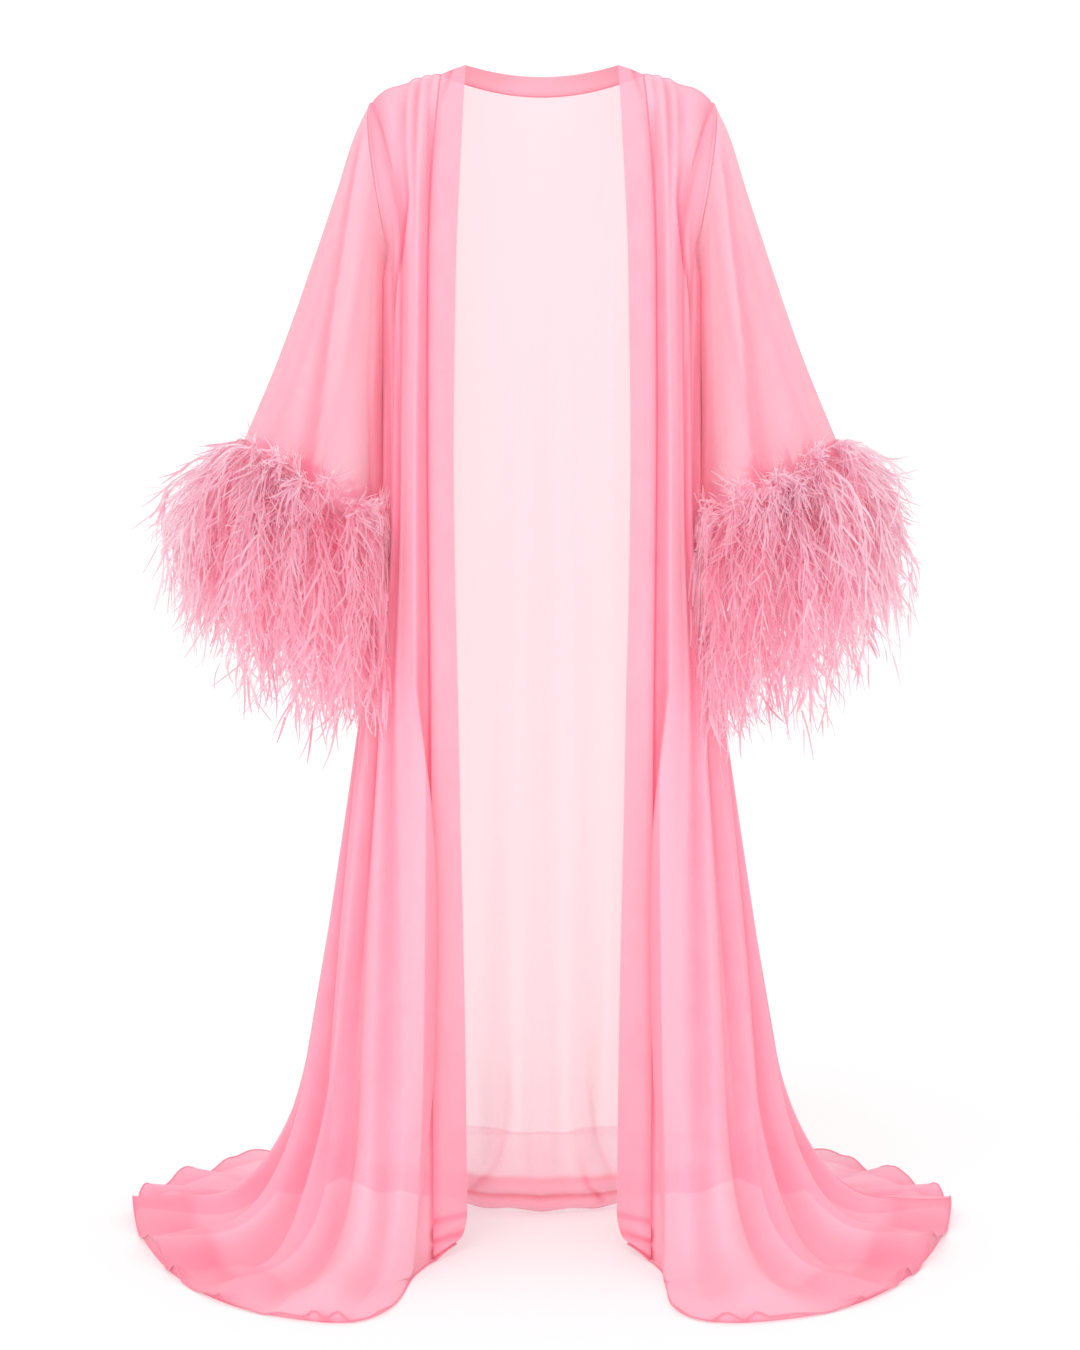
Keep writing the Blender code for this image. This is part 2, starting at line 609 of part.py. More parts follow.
def feather_cuff(name, points, normals, turns, sign, seed):
    """Backing strip on the sleeve end, with locks drawn out of its faces."""
    chance = np.random.default_rng(seed)
    ahead = np.roll(points, -1, axis=1)
    ahead_n = np.roll(normals, -1, axis=1)
    ahead_turn = turns + (np.roll(turns, -1) - turns + 0.5) % 1.0 - 0.5
    parts = [k / PER_COLUMN for k in range(PER_COLUMN)]
    fine = np.concatenate([points + (ahead - points) * part for part in parts], axis=2)
    fine = fine.reshape(points.shape[0], -1, 3)
    fine_n = np.concatenate([normals + (ahead_n - normals) * part for part in parts], axis=2)
    fine_n = unit(fine_n.reshape(points.shape[0], -1, 3))
    fine_turn = np.stack([turns + (ahead_turn - turns) * part for part in parts], axis=1).reshape(-1)
    inner = fine + fine_n * (WALL / 2 + SEAM_GAP)
    outer = inner + fine_n * STRIP_WALL
    rows, cols = inner.shape[:2]
    verts = [tuple(p) for p in np.concatenate([outer.reshape(-1, 3), inner.reshape(-1, 3)])]
    under = rows * cols
    faces = []
    roots = []
    for i in range(rows - 1):
        for j in range(cols):
            k = (j + 1) % cols
            a, b, c, d = i * cols + j, i * cols + k, (i + 1) * cols + k, (i + 1) * cols + j
            faces.append((d + under, c + under, b + under, a + under))
            roots.append(("high" if i == 0 else "low", j, (a, b, c, d)))
    low = (rows - 1) * cols
    for j in range(cols):
        k = (j + 1) % cols
        faces.append((k, j, j + under, k + under))
        roots.append(("rim", j, (low + j, low + k, low + k + under, low + j + under)))
    for kind, j, quad in roots:
        size = 0.88 + 0.12 * chance.random()
        turn = fine_turn[j] % 1.0
        if kind != "rim" and abs(turn - 0.5) < BARE_TURN:
            faces.append(quad)
            continue
        corners = np.array([verts[p] for p in quad])
        root = corners.mean(axis=0)
        face_out = unit(np.cross(corners[2] - corners[0], corners[3] - corners[1]))
        out = fine_n[1, j]
        fall = unit(fine[-1, j] - fine[0, j])
        flip = np.array([sign, 1.0, 1.0])
        path = [lock_path(kind, turn, root * flip, out * flip, fall * flip, q, size) * flip
                for q in (0.0,) + LOCK_STEPS]
        ring = list(quad)
        for step, taper in enumerate(LOCK_TAPERS[kind]):
            heading = unit(path[min(step + 2, len(path) - 1)] - path[step])
            if taper == 0.0:
                verts.append(tuple(path[step + 1]))
                tip = len(verts) - 1
                for m in range(4):
                    faces.append((ring[m], ring[(m + 1) % 4], tip))
                break
            offsets = turned_to(corners - root, face_out, heading) * taper
            base = len(verts)
            verts.extend(tuple(path[step + 1] + o) for o in offsets)
            following = [base, base + 1, base + 2, base + 3]
            for m in range(4):
                n = (m + 1) % 4
                faces.append((ring[m], ring[n], following[n], following[m]))
            ring = following
    return add_mesh(name, verts, faces, FEATHER_PINK, 0.9)


# Sleeves and feather cuffs
fore_part = (front_cols[front_cols >= TIP_AT - 1e-9] - TIP_AT) / (1 - TIP_AT)
behind = back_half[(back_half > 1.0 + 1e-9) & (back_half < BACK_TIP_AT - 1e-9)]
aft_part = (BACK_TIP_AT - behind) / (BACK_TIP_AT - 1)
fore_turns = 0.5 * armhole_share(fore_part)
aft_turns = 1 - 0.5 * armhole_share(aft_part)
sleeve_turns = np.concatenate([fore_turns, aft_turns])[::-1]
for side, sign in sides.items():
    points, normals = sleeve_grid(sleeve_turns, SLEEVE_ROWS)
    points, normals = mirror(points, normals, sign)
    turns = sleeve_turns if sign > 0 else sleeve_turns[::-1]
    shell(side + "_sleeve", points, normals, WALL, PINK, ring=True)
    feather_cuff(side + "_feather_cuff", points[-3:], normals[-3:], turns, sign, 11 if sign > 0 else 12)
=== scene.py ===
"""Looks of the feather cover-up: sheer chiffon robe, feather cuffs and a pooled train."""
import math

import bpy
import numpy as np
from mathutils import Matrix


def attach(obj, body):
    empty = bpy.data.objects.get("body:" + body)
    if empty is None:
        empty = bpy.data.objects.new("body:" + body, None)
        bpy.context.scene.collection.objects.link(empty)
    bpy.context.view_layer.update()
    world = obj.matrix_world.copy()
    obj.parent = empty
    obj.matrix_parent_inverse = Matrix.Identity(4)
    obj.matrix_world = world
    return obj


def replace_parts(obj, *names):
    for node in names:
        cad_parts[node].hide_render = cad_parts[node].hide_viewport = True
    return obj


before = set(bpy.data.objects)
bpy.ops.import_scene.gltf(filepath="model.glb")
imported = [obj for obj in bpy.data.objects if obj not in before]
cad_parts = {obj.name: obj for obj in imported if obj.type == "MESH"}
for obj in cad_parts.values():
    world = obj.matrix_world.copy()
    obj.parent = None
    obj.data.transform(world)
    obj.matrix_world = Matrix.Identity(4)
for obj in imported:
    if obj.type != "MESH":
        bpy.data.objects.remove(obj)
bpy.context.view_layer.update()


def table(names, *rows):
    """Rows of sizes whose columns are read by name."""
    return np.array(list(rows), dtype=[(name, float) for name in names.split()])


# Cut of the robe, the same named sizes as the solids, in metres
FLOOR_Z = -1.44
WALL = 0.0007
BAND_WALL = 0.0011
CHEST_Z = -0.26
HIP_Z = -0.75
SQUARENESS = 2.5
NECK_EDGE = (-0.0925, 0.0, 0.0)
NECK_SEAM = np.array([-0.123, 0.0, -0.0115])
SHOULDER_TIP = np.array([-0.2065, 0.0, -0.0456])
SHOULDER_RISE = 0.006
SHOULDER_ROUND = 0.0058
SHOULDER_REACH = np.array([0.25, 0.90, 0.16])
UNDERARM = np.array([-0.187, 0.0, -0.218])
ARMHOLE_BULGE_X = -0.013
ARMHOLE_BULGE_Y = 0.056
BACK_NECK_SEAM_Y = 0.064
BACK_NECK_SEAM_Z = -0.031
BACK_NECK_TOP_Y = 0.062
BACK_NECK_TOP_Z = -0.007
SECTIONS = table(
    "z seam_x front_y half_width back_y",
    (-0.26, 0.1350, -0.110, 0.1885, 0.100),
    (-0.42, 0.1360, -0.115, 0.184, 0.106),
    (-0.58, 0.1350, -0.119, 0.186, 0.111),
    (-0.75, 0.1330, -0.122, 0.208, 0.118),
)
HEM = table(
    "around x y cone bend",
    (0.00, -0.128, -0.128, 0.30, 0.30),
    (0.08, -0.150, -0.195, 0.30, 0.40),
    (0.18, -0.168, -0.335, 0.30, 0.50),
    (0.30, -0.207, -0.410, 0.30, 0.55),
    (0.45, -0.285, -0.396, 0.31, 0.60),
    (0.62, -0.378, -0.310, 0.32, 0.60),
    (0.80, -0.460, -0.140, 0.33, 0.60),
    (1.00, -0.522, 0.120, 0.33, 0.60),
    (1.22, -0.486, 0.275, 0.30, 0.55),
    (1.45, -0.385, 0.455, 0.17, 0.36),
    (1.70, -0.225, 0.590, 0.03, 0.10),
    (2.00, 0.000, 0.635, 0.00, 0.03),
)
BEND_START = 0.68
# Main folds; the first one is wider outwards here than in the solids
FOLDS = table(
    "chest_at hem_at before after chest hip foot hem lean",
    (0.13, 0.22, 0.100, 0.36, 0.016, 0.028, 0.014, 0.008, 0.42),
    (0.44, 0.40, 0.085, 0.10, 0.010, 0.016, 0.030, 0.016, 0.35),
    (0.71, 0.59, 0.095, 0.09, 0.013, 0.014, 0.024, 0.016, -0.05),
    (0.84, 0.83, 0.080, 0.08, 0.004, 0.012, 0.032, 0.018, 0.25),
    (1.00, 0.97, 0.075, 0.07, 0.006, 0.006, 0.026, 0.018, 0.00),
    (1.16, 1.10, 0.065, 0.07, 0.002, 0.008, 0.026, 0.022, 0.00),
    (1.33, 1.25, 0.075, 0.07, 0.002, 0.005, 0.022, 0.022, 0.00),
    (1.52, 1.42, 0.080, 0.08, 0.003, 0.008, 0.022, 0.016, 0.00),
    (1.72, 1.66, 0.090, 0.09, 0.002, 0.005, 0.012, 0.010, 0.00),
    (1.90, 1.86, 0.085, 0.08, 0.003, 0.006, 0.010, 0.012, 0.00),
)
# Rows at which a fold's or crease's chest, hip, foot and hem depths hold
DEPTH_ROWS = np.array([1.0, 1.6, 2.5, 4.0])
# Small creases between the folds
CREASES = table(
    "chest_at hem_at half chest hip foot hem",
    (0.290, 0.300, 0.045, 0.0015, 0.0030, 0.0050, 0.0040),
    (0.545, 0.480, 0.040, 0.0020, 0.0035, 0.0060, 0.0050),
    (0.620, 0.630, 0.035, 0.0015, 0.0025, 0.0050, 0.0060),
    (0.770, 0.800, 0.035, 0.0010, 0.0030, 0.0080, 0.0100),
    (0.930, 0.985, 0.035, 0.0010, 0.0020, 0.0090, 0.0130),
    (1.080, 1.180, 0.040, 0.0010, 0.0025, 0.0080, 0.0120),
    (1.240, 1.360, 0.040, 0.0015, 0.0025, 0.0060, 0.0090),
    (1.430, 1.560, 0.040, 0.0015, 0.0030, 0.0050, 0.0045),
    (1.620, 1.760, 0.045, 0.0015, 0.0025, 0.0040, 0.0040),
    (1.810, 1.930, 0.040, 0.0012, 0.0025, 0.0035, 0.0035),
)
# Deep troughs between folds: place at the hip and on the floor, half width, depth, first, last row
TROUGHS = (
    (0.66, 0.72, 0.060, 0.020, 1.6, 3.25),
    (0.50, 0.50, 0.045, 0.008, 1.7, 3.10),
)
EDGE_TROUGH_DEPTH = 0.0055
EDGE_TROUGH_HALF = 0.030
PLEAT_DRAW = 0.45
# Pleats stitched into the shoulder seam beside the band
PLEATS = table(
    "at half depth",
    (0.020, 0.022, 0.0040),
    (0.058, 0.024, 0.0060),
    (0.102, 0.026, 0.0055),
)
# Turned-up places of the hem: where, half width, height
FLIPS = (
    (0.345, 0.030, 0.010),
    (0.395, 0.022, 0.007),
    (0.600, 0.018, 0.005),
    (0.735, 0.026, 0.014),
    (0.845, 0.022, 0.006),
)
RIPPLE_HEIGHT = 0.0022
LEFT_DEPTH = 0.94
LEFT_SHIFT = 0.012
LEFT_LOBE = 0.024
LEFT_SLEEVE_SPREAD = 0.97
ROLLS = table("height half reach", (0.033, 0.013, 0.013), (0.011, 0.011, 0.014))
ROLL_SPREAD = 0.70
# Slanting tucks in the back above its rolled foot, as rows and places right round the robe
TUCKS = (
    ((2.11, 1.852), (2.30, 1.840), (2.44, 1.804), (2.50, 1.776), (2.63, 1.699)),
    ((2.14, 2.224), (2.37, 2.261), (2.51, 2.301)),
    ((2.46, 2.172), (2.61, 2.212), (2.73, 2.257)),
)
TUCK_HALF = 0.022
TUCK_DEPTH = 0.004
BAND_CORNER = 0.055
BAND_ROLL = 0.0014
BAND_PLEAT = 0.0030
BAND_WIDTHS = table(
    "z across back_set",
    (0.00, 0.0305, 0.000),
    (-0.11, 0.0330, 0.006),
    (-0.26, 0.0320, 0.008),
    (-0.53, 0.0300, 0.008),
    (-0.87, 0.0340, 0.010),
    (-1.15, 0.0390, 0.016),
    (-1.44, 0.0405, 0.048),
)
SLEEVE = table(
    "along outer_x outer_z inner_x inner_z half_depth",
    (0.00, -0.2065, -0.0456, -0.1880, -0.220, 0.066),
    (0.10, -0.2237, -0.0793, -0.1880, -0.250, 0.072),
    (0.30, -0.2495, -0.1613, -0.1900, -0.332, 0.082),
    (0.53, -0.2803, -0.2580, -0.1935, -0.420, 0.088),
    (0.78, -0.3200, -0.3637, -0.1945, -0.510, 0.092),
    (1.00, -0.3665, -0.4680, -0.1965, -0.580, 0.094),
)
SLEEVE_BLEND = 0.40
ARMHOLE_STEP = 0.0004
# Sleeve folds: place at the armhole and at the cuff, half width, depth
SLEEVE_FOLDS = table(
    "from_turn to_turn half depth",
    (0.02, 0.09, 0.080, 0.009),
    (0.19, 0.32, 0.105, 0.018),
    (0.23, 0.27, 0.030, 0.002),
    (0.36, 0.475, 0.055, 0.007),
    (0.56, 0.58, 0.060, 0.006),
    (0.68, 0.70, 0.070, 0.010),
    (0.84, 0.82, 0.080, 0.012),
    (0.95, 0.94, 0.050, 0.005),
)
# Painted shade in the creases between the sleeve folds: place at the armhole and at the cuff, half
# width, tone
MAIN_CREASE = {"right": (0.125, 0.252), "left": (0.170, 0.288)}
INNER_CREASE = {"right": (0.300, 0.418), "left": (0.322, 0.436)}
SLEEVE_CREASE_SHADE = (
    (0.050, 0.120, 0.016, 0.10),
    (0.620, 0.640, 0.030, 0.30),
    (0.760, 0.760, 0.030, 0.30),
    (0.905, 0.885, 0.025, 0.25),
)
TIP_AT = 0.28
SEAM_MARGIN = 0.025
BACK_TIP_AT = 1.38
BACK_NECK_AT = 1.54
STEP = 0.004

# Feather cuffs
STRIP_WALL = 0.0030
STRIP_FROM = 0.972
STRIP_TONE = 0.35
STRIP_COLUMNS = 72
ROOT_FROM = 0.972
ROOT_TO = 0.998
PLUMES = 720
PLUME_SEEDS = {"right": {"a": 21, "b": 22}, "left": {"a": 31, "b": 32}}
QUILL_STEPS = 9
QUILL_SWAY = 0.07
QUILL_CURL = 0.075
# Lengths of plumes at the rim, below and over it; shares of the first two: all round, in front, outside
RIM_LOCK = 0.205
LOW_LOCK = 0.188
HIGH_LOCK = 0.052
RIM_ROUND = (0.85, 0.28, 0.03)
LOW_ROUND = (0.98, 0.19, -0.20)
LOW_REACH = 0.042
LOW_REACH_OUTSIDE = 0.036
HIGH_RISE = 0.036
HIGH_RISE_OUTSIDE = -0.033
BARBS = 16
BARB_STEPS = 6
BARB_FROM = 0.13
BARB_LENGTH = 0.062
BARB_RADIUS = 0.00135
BARB_SPREAD = (12, 30)
BARB_NOISE = 0.30
BARB_BEND = 0.62
HIGH_BARB = 0.64
TWIST = 1.2
# Painted shade of the inner plumes
PLUME_LAYER_SHADE = 0.54
PLUME_SCATTER = 0.09
BARB_SCATTER = 0.12
CUFF_CENTRE = (-0.2815, 0.0)
BODY_CLEAR = 0.004
BODY_SLACK = 0.012
BODY_PUSH = 0.85
FRONT_CLEAR = 0.186
DOWN = np.array([0.0, 0.0, -1.0])

# Sewn lines
HEM_RADIUS = 0.0011
SEAM_RADIUS = 0.0009
TUBE_SIDES = 6
TUBE_GUIDE = np.array([0.21, 0.34, 0.92])
HEM_TURN = 0.004
HEM_LIFT = 0.0003

# Fine grid
FORE_STEPS = 160
AFT_STEPS = 200
DENSE = 600
FRONT_COLUMNS = 120
BACK_COLUMNS = 170
BAND_COLUMNS = 15
NECKBAND_COLUMNS = 73
NECKBAND_ROWS = 11
ROWS = np.concatenate([
    np.linspace(0.0, 1.0, 34)[:-1],
    np.linspace(1.0, 2.0, 46)[:-1],
    np.linspace(2.0, 3.0, 60)[:-1],
    np.linspace(3.0, 3.985, 30),
    [3.993, 4.0],
])


def through(xs, ys, x):
    """Smooth curve through a table, flat beyond its ends."""
    x = np.clip(x, xs[0], xs[-1])
    slope = np.gradient(ys, xs)
    i = np.clip(np.searchsorted(xs, x, side="right") - 1, 0, len(xs) - 2)
    gap = xs[i + 1] - xs[i]
    t = (x - xs[i]) / gap
    first = (1 + 2 * t) * (1 - t) ** 2 * ys[i] + t * (1 - t) ** 2 * gap * slope[i]
    second = t * t * (3 - 2 * t) * ys[i + 1] + t * t * (t - 1) * gap * slope[i + 1]
    return first + second


def ease(x):
    x = np.clip(x, 0.0, 1.0)
    return x * x * (3 - 2 * x)


def window(x, start, rise, stop, fall):
    """1 between two places, easing in over rise and out over fall."""
    return ease((x - start) / rise) * (1 - ease((x - stop) / fall))


def bump(x):
    """Soft ridge, 1 at the middle and 0 from -1 and 1 outwards."""
    return np.cos(np.clip(x, -1.0, 1.0) * math.pi / 2) ** 2


def full_bump(x):
    """Round ridge with a crisp foot at -1 and 1."""
    return np.cos(np.clip(x, -1.0, 1.0) * math.pi / 2) ** 1.35


def unit(vectors):
    return vectors / np.maximum(np.linalg.norm(vectors, axis=-1, keepdims=True), 1e-12)


def section_size(z, name):
    return float(through(-SECTIONS["z"], SECTIONS[name], np.array([-z]))[0])


def run_length(points):
    """Length from the first point of a path to each of its points."""
    return np.concatenate([[0.0], np.cumsum(np.linalg.norm(np.diff(points, axis=0), axis=1))])


def along_curve(points, share):
    lengths = run_length(points)
    lengths /= lengths[-1]
    return np.stack([np.interp(share, lengths, points[:, k]) for k in range(points.shape[1])], axis=1)


def section(z, w):
    """Right half of the hanging body at one height, from band seam over side seam to centre back."""
    half = section_size(z, "half_width")
    power = 2.0 / SQUARENESS
    first = math.asin((section_size(z, "seam_x") / half) ** (1 / power))

    def quarter(start, stop, steps, depth, share):
        a = np.linspace(start, stop, steps)
        curve = np.stack([-half * np.sin(a) ** power, depth * np.cos(a).clip(0) ** power], axis=1)
        return along_curve(curve, share.clip(0, 1))

    ahead = quarter(first, math.pi / 2, FORE_STEPS, section_size(z, "front_y"), w)
    behind = quarter(math.pi / 2, 0.0, AFT_STEPS, section_size(z, "back_y"), w - 1)
    flat = np.where((w <= 1.0)[:, None], ahead, behind)
    return np.column_stack([flat, np.full(len(w), z)])


def shoulder_line(share):
    points = NECK_SEAM + (SHOULDER_TIP - NECK_SEAM) * share[:, None]
    points[:, 2] += SHOULDER_RISE * np.sin(share * math.pi)
    points[:, 2] += SHOULDER_ROUND * ease((share - 0.5) / 0.35) * (1 - share ** 9)
    return points


def armhole_line(share, face):
    """Armhole from shoulder tip to underarm, face -1 in front and 1 behind."""
    down = ((1 - np.cos(share * math.pi)) / 2)[:, None]
    points = SHOULDER_TIP + (UNDERARM - SHOULDER_TIP) * down
    points[:, 0] += ARMHOLE_BULGE_X * np.sin(share * math.pi * 0.9) * (1 - share)
    points[:, 1] += face * ARMHOLE_BULGE_Y * np.sin(share * math.pi)
    return points


def armhole_share(part):
    return 1 - (1 - np.clip(part, 0, 1)) ** 1.5


def neck_line(share):
    hollow = 1 - (1 - share) ** 2
    z = NECK_SEAM[2] + (BACK_NECK_SEAM_Z - NECK_SEAM[2]) * hollow
    return np.stack([NECK_SEAM[0] * (1 - share), BACK_NECK_SEAM_Y * hollow, z], axis=1)


def top_edge(w):
    """Shoulder seam, armhole, shoulder seam again and back neck, from band seam to centre back."""
    fore = shoulder_line((w / TIP_AT).clip(0, 1))
    fore_hole = armhole_line(armhole_share((w - TIP_AT) / (1 - TIP_AT)), -1)
    aft_hole = armhole_line(armhole_share((BACK_TIP_AT - w) / (BACK_TIP_AT - 1)), 1)
    aft = shoulder_line(((BACK_NECK_AT - w) / (BACK_NECK_AT - BACK_TIP_AT)).clip(0, 1))
    neck = neck_line(((w - BACK_NECK_AT) / (2 - BACK_NECK_AT)).clip(0, 1))
    points = fore
    for start, part in ((TIP_AT, fore_hole), (1.0, aft_hole), (BACK_TIP_AT, aft), (BACK_NECK_AT, neck)):
        points = np.where((w > start)[:, None], part, points)
    return points


def over_shoulder(w):
    fore = 1 - ease((w - TIP_AT * 0.7) / 0.50)
    aft = ease((w - 1.06) / 0.34) * (1 - 0.7 * ease((w - BACK_NECK_AT) / 0.4))
    return np.where(w <= 1.0, fore, aft)


def base_row(v, w):
    """One row of the smooth robe: v to 1 at the shoulder, 2 hanging, 3 bending, 4 on the floor."""
    if v <= 1.0:
        top = top_edge(w)
        chest = section(CHEST_Z, w)
        up = unit(chest - section(CHEST_Z - 0.03, w))
        drop = (top[:, 2] - chest[:, 2])[:, None]
        level = over_shoulder(w)[:, None]
        away = chest - top
        p1 = top + away * SHOULDER_REACH * level + away / 3 * (1 - level)
        p2 = chest + up * drop * 0.45
        u = 1 - v
        return u ** 3 * top + 3 * v * u ** 2 * p1 + 3 * v * v * u * p2 + v ** 3 * chest
    span = HIP_Z - FLOOR_Z
    bend_z = HIP_Z - BEND_START * span
    if v <= 2.0:
        z = CHEST_Z + (v - 1) * (bend_z - CHEST_Z)
        if z >= HIP_Z:
            return section(z, w)
    x, y, cone, bend = (through(HEM["around"], HEM[name], w) for name in HEM.dtype.names[1:])
    hip = section(HIP_Z, w)
    reach = np.column_stack([x, y, np.full(len(w), FLOOR_Z + WALL / 2)])
    foot = hip + (reach - hip) * np.column_stack([cone, cone, np.ones(len(w))])
    if v <= 2.0:
        return hip + (foot - hip) * (HIP_Z - z) / span
    start = hip + (foot - hip) * BEND_START
    end = foot + (reach - foot) * bend[:, None]
    if v <= 3.0:
        t = v - 2
        return (1 - t) ** 2 * start + 2 * t * (1 - t) * foot + t * t * end
    return end + (reach - end) * (v - 3)


def depth_at(row, v):
    """Depth of a fold or crease at one row."""
    depths = np.array([row[name] for name in ("chest", "hip", "foot", "hem")])
    return max(float(through(DEPTH_ROWS, depths, np.array([v]))[0]), 0.0)


def fold_edge(v):
    """Place of the outer edge of the wide fold beside the band."""
    return 0.200 + 0.370 * ease((v - 0.66) / 0.60)


def fold_height(v, w, side_depth, side_shift):
    """Height of all folds over the smooth robe, and how far each crest leans to the front."""
    height = np.zeros(len(w))
    lean = np.zeros(len(w))
    settle = ease((v - 1.2) / 1.8)
    draw = PLEAT_DRAW + (1 - PLEAT_DRAW) * ease(v)
    for fold in FOLDS:
        at = fold["chest_at"] + (fold["hem_at"] - fold["chest_at"]) * settle + side_shift
        if fold["chest_at"] < 0.5:
            at = at * draw
        offset = w - at
        reach = np.where(offset < 0, fold["before"], fold["after"])
        ridge = depth_at(fold, v) * full_bump(offset / reach) * side_depth
        height += ridge
        lean += ridge * fold["lean"]
    for number, crease in enumerate(CREASES):
        sway = 0.012 * math.sin(2.1 * v + 1.7 * number) + side_shift * (1 + number % 3)
        at = crease["chest_at"] + (crease["hem_at"] - crease["chest_at"]) * settle + sway
        fading = 0.65 + 0.35 * math.sin(1.6 * v + 2.3 * number)
        height += depth_at(crease, v) * fading * bump((w - at) / crease["half"])
    for near_hip, on_floor, half, deep, first, last in TROUGHS:
        run = (v - first) / (last - first)
        at = near_hip + (on_floor - near_hip) * run + side_shift
        height -= deep * bump(2 * run - 1) * bump((w - at) / half)
    past_tip = ease((w - TIP_AT + 0.08) / 0.16)
    start = (1 - past_tip) * ease(v / 0.5) + past_tip * ease((v - 0.55) / 0.75)
    flattened = ease((w - 1.5) / 0.2) * window(v, start=2.4, rise=0.25, stop=3.2, fall=0.4)
    start = start * (1 - 0.75 * flattened)
    quiet = start * ease((w - SEAM_MARGIN) / 0.03) * ease((2.0 - w) / 0.05 + 0.6)
    fade = 1 - ease((v - 2.3) / 1.2)
    lying = ease((v - 3.3) / 0.7)
    trough = EDGE_TROUGH_DEPTH * window(v, start=0.3, rise=0.6, stop=1.5, fall=0.6)
    height = height - trough * bump((w - fold_edge(v) - side_shift) / EDGE_TROUGH_HALF)
    height = height * quiet * (1 - lying * 0.72 * (1 - ease((w - 0.55) / 0.25)))
    near = (1 - ease((v - 0.25) / 0.75)) * (0.45 + 0.55 * ease(v / 0.12))
    for pleat in PLEATS:
        at = pleat["at"] * (1 + 1.2 * v)
        height += pleat["depth"] * near * full_bump((w - at) / (pleat["half"] * (1 + v)))
    return height, lean * quiet * fade


def hem_ripple(v, w):
    """Lift of the hem's small uneven waves and turned-up flips where it lies on the floor."""
    near = ease((v - 3.45) / 0.5)
    edge = ease((v - 3.72) / 0.26)
    waves = np.sin(29 * w + 2.0 * np.sin(5 * w)) + 0.6 * np.sin(53 * w + 1.3)
    lift = RIPPLE_HEIGHT * near * np.clip(waves - 0.2, 0, None)
    for at, half, high in FLIPS:
        lift = lift + high * edge * bump((w - at) / half)
    return lift


def tuck(v, w):
    """How deep each place lies in the back's slanting tucks, 0 to 1."""
    deep = 0.0
    for path in TUCKS:
        rows, places = np.array(path).T
        inside = ease((v - rows[0] + 0.15) / 0.25) * ease((rows[-1] + 0.12 - v) / 0.12)
        deep = deep + inside * bump((w - np.interp(v, rows, places)) / TUCK_HALF)
    return deep


def half_cloth(v, w, side_depth, side_shift):
    """One row of the right half with its folds."""
    here = base_row(v, w)
    across = unit(base_row(v, (w + STEP).clip(0, 2)) - base_row(v, (w - STEP).clip(0, 2)))
    down = unit(base_row(min(v + STEP, 4.0), w) - base_row(max(v - STEP, 0.0), w))
    out = unit(np.cross(across, down))
    height, lean = fold_height(v, w, side_depth, side_shift)
    points = here + out * height[:, None] - across * lean[:, None]
    above = here[:, 2] - FLOOR_Z
    if 2.0 < v <= 3.0:
        near = ease((w - (2 - ROLL_SPREAD)) / ROLL_SPREAD)
        for roll in ROLLS:
            points[:, 1] -= roll["reach"] * near * bump((above - roll["height"]) / roll["half"])
    if v > 3.0:
        points[:, 2] += hem_ripple(v, w + side_shift)
    points[:, 2] = np.maximum(points[:, 2], FLOOR_Z + WALL)
    return points


def cloth_row(v, w):
    """One row right round the robe: 0 right band seam, 2 centre back, 4 left band seam."""
    left = w > 2.0
    mirrored = np.where(left, 4 - w, w).clip(0, 2)
    right_half = half_cloth(v, mirrored, 1.0, 0.0)
    left_half = half_cloth(v, mirrored, LEFT_DEPTH, LEFT_SHIFT)
    left_half[:, 0] += LEFT_LOBE * bump((mirrored - 0.24) / 0.24) * ease((v - 2.0) / 1.3)
    mix = ease((w - 1.8) / 0.4)[:, None]
    points = right_half * (1 - mix) + left_half * mix
    points[left, 0] *= -1
    points[:, 1] += TUCK_DEPTH * tuck(v, w)
    return points


def grid_normals(points, ring=False):
    grid = np.concatenate([points[:, -1:], points, points[:, :1]], axis=1) if ring else points
    faces = unit(np.cross(grid[1:, 1:] - grid[:-1, :-1], grid[1:, :-1] - grid[:-1, 1:]))
    total = np.zeros(grid.shape)
    total[:-1, :-1] += faces
    total[:-1, 1:] += faces
    total[1:, :-1] += faces
    total[1:, 1:] += faces
    normals = unit(total)
    return normals[:, 1:-1] if ring else normals


def even_columns(start, stop, count):
    """Places evenly spaced along the folded cloth."""
    dense = np.linspace(start, stop, DENSE)
    lengths = run_length(0.5 * (cloth_row(1.75, dense) + cloth_row(2.4, dense)))
    lengths = 0.7 * lengths / lengths[-1] + 0.3 * np.linspace(0, 1, DENSE)
    return np.interp(np.linspace(0, 1, count + 1), lengths, dense)


def beside(count, step, ring):
    """Places some steps along a row, round again in a ring and held at the ends otherwise."""
    there = np.arange(count) + step
    return there % count if ring else there.clip(0, count - 1)


def shut_in(points, normals, ring):
    """How far folds on both sides shut each place in: 0 on a crest, towards 1 deep in a valley."""
    cols = points.shape[1]
    smooth = normals.copy()
    for step in range(1, 13):
        for way in (-step, step):
            smooth += normals[:, beside(cols, way, ring)]
    smooth = unit(smooth)
    total = np.zeros(points.shape[:2])
    for way in (-1, 1):
        steepest = np.zeros(points.shape[:2])
        for step in (1, 2, 3, 4, 6, 8, 11, 15, 20, 26):
            gap = points[:, beside(cols, way * step, ring)] - points
            high = np.einsum("ijk,ijk->ij", gap, smooth)
            far = np.linalg.norm(gap - smooth * high[..., None], axis=2)
            steepest = np.maximum(steepest, np.arctan2(high, far + 0.0006))
        total += steepest
    total /= math.pi
    even = total.copy()
    even[1:-1] = (total[:-2] + 2 * total[1:-1] + total[2:]) / 4
    return even


# Painted shade that the folds' hollows give the cloth
FOLD_SHADE_LEAST = 0.03
FOLD_SHADE_GAIN = 1.55
FOLD_SHADE_FROM = 0.06
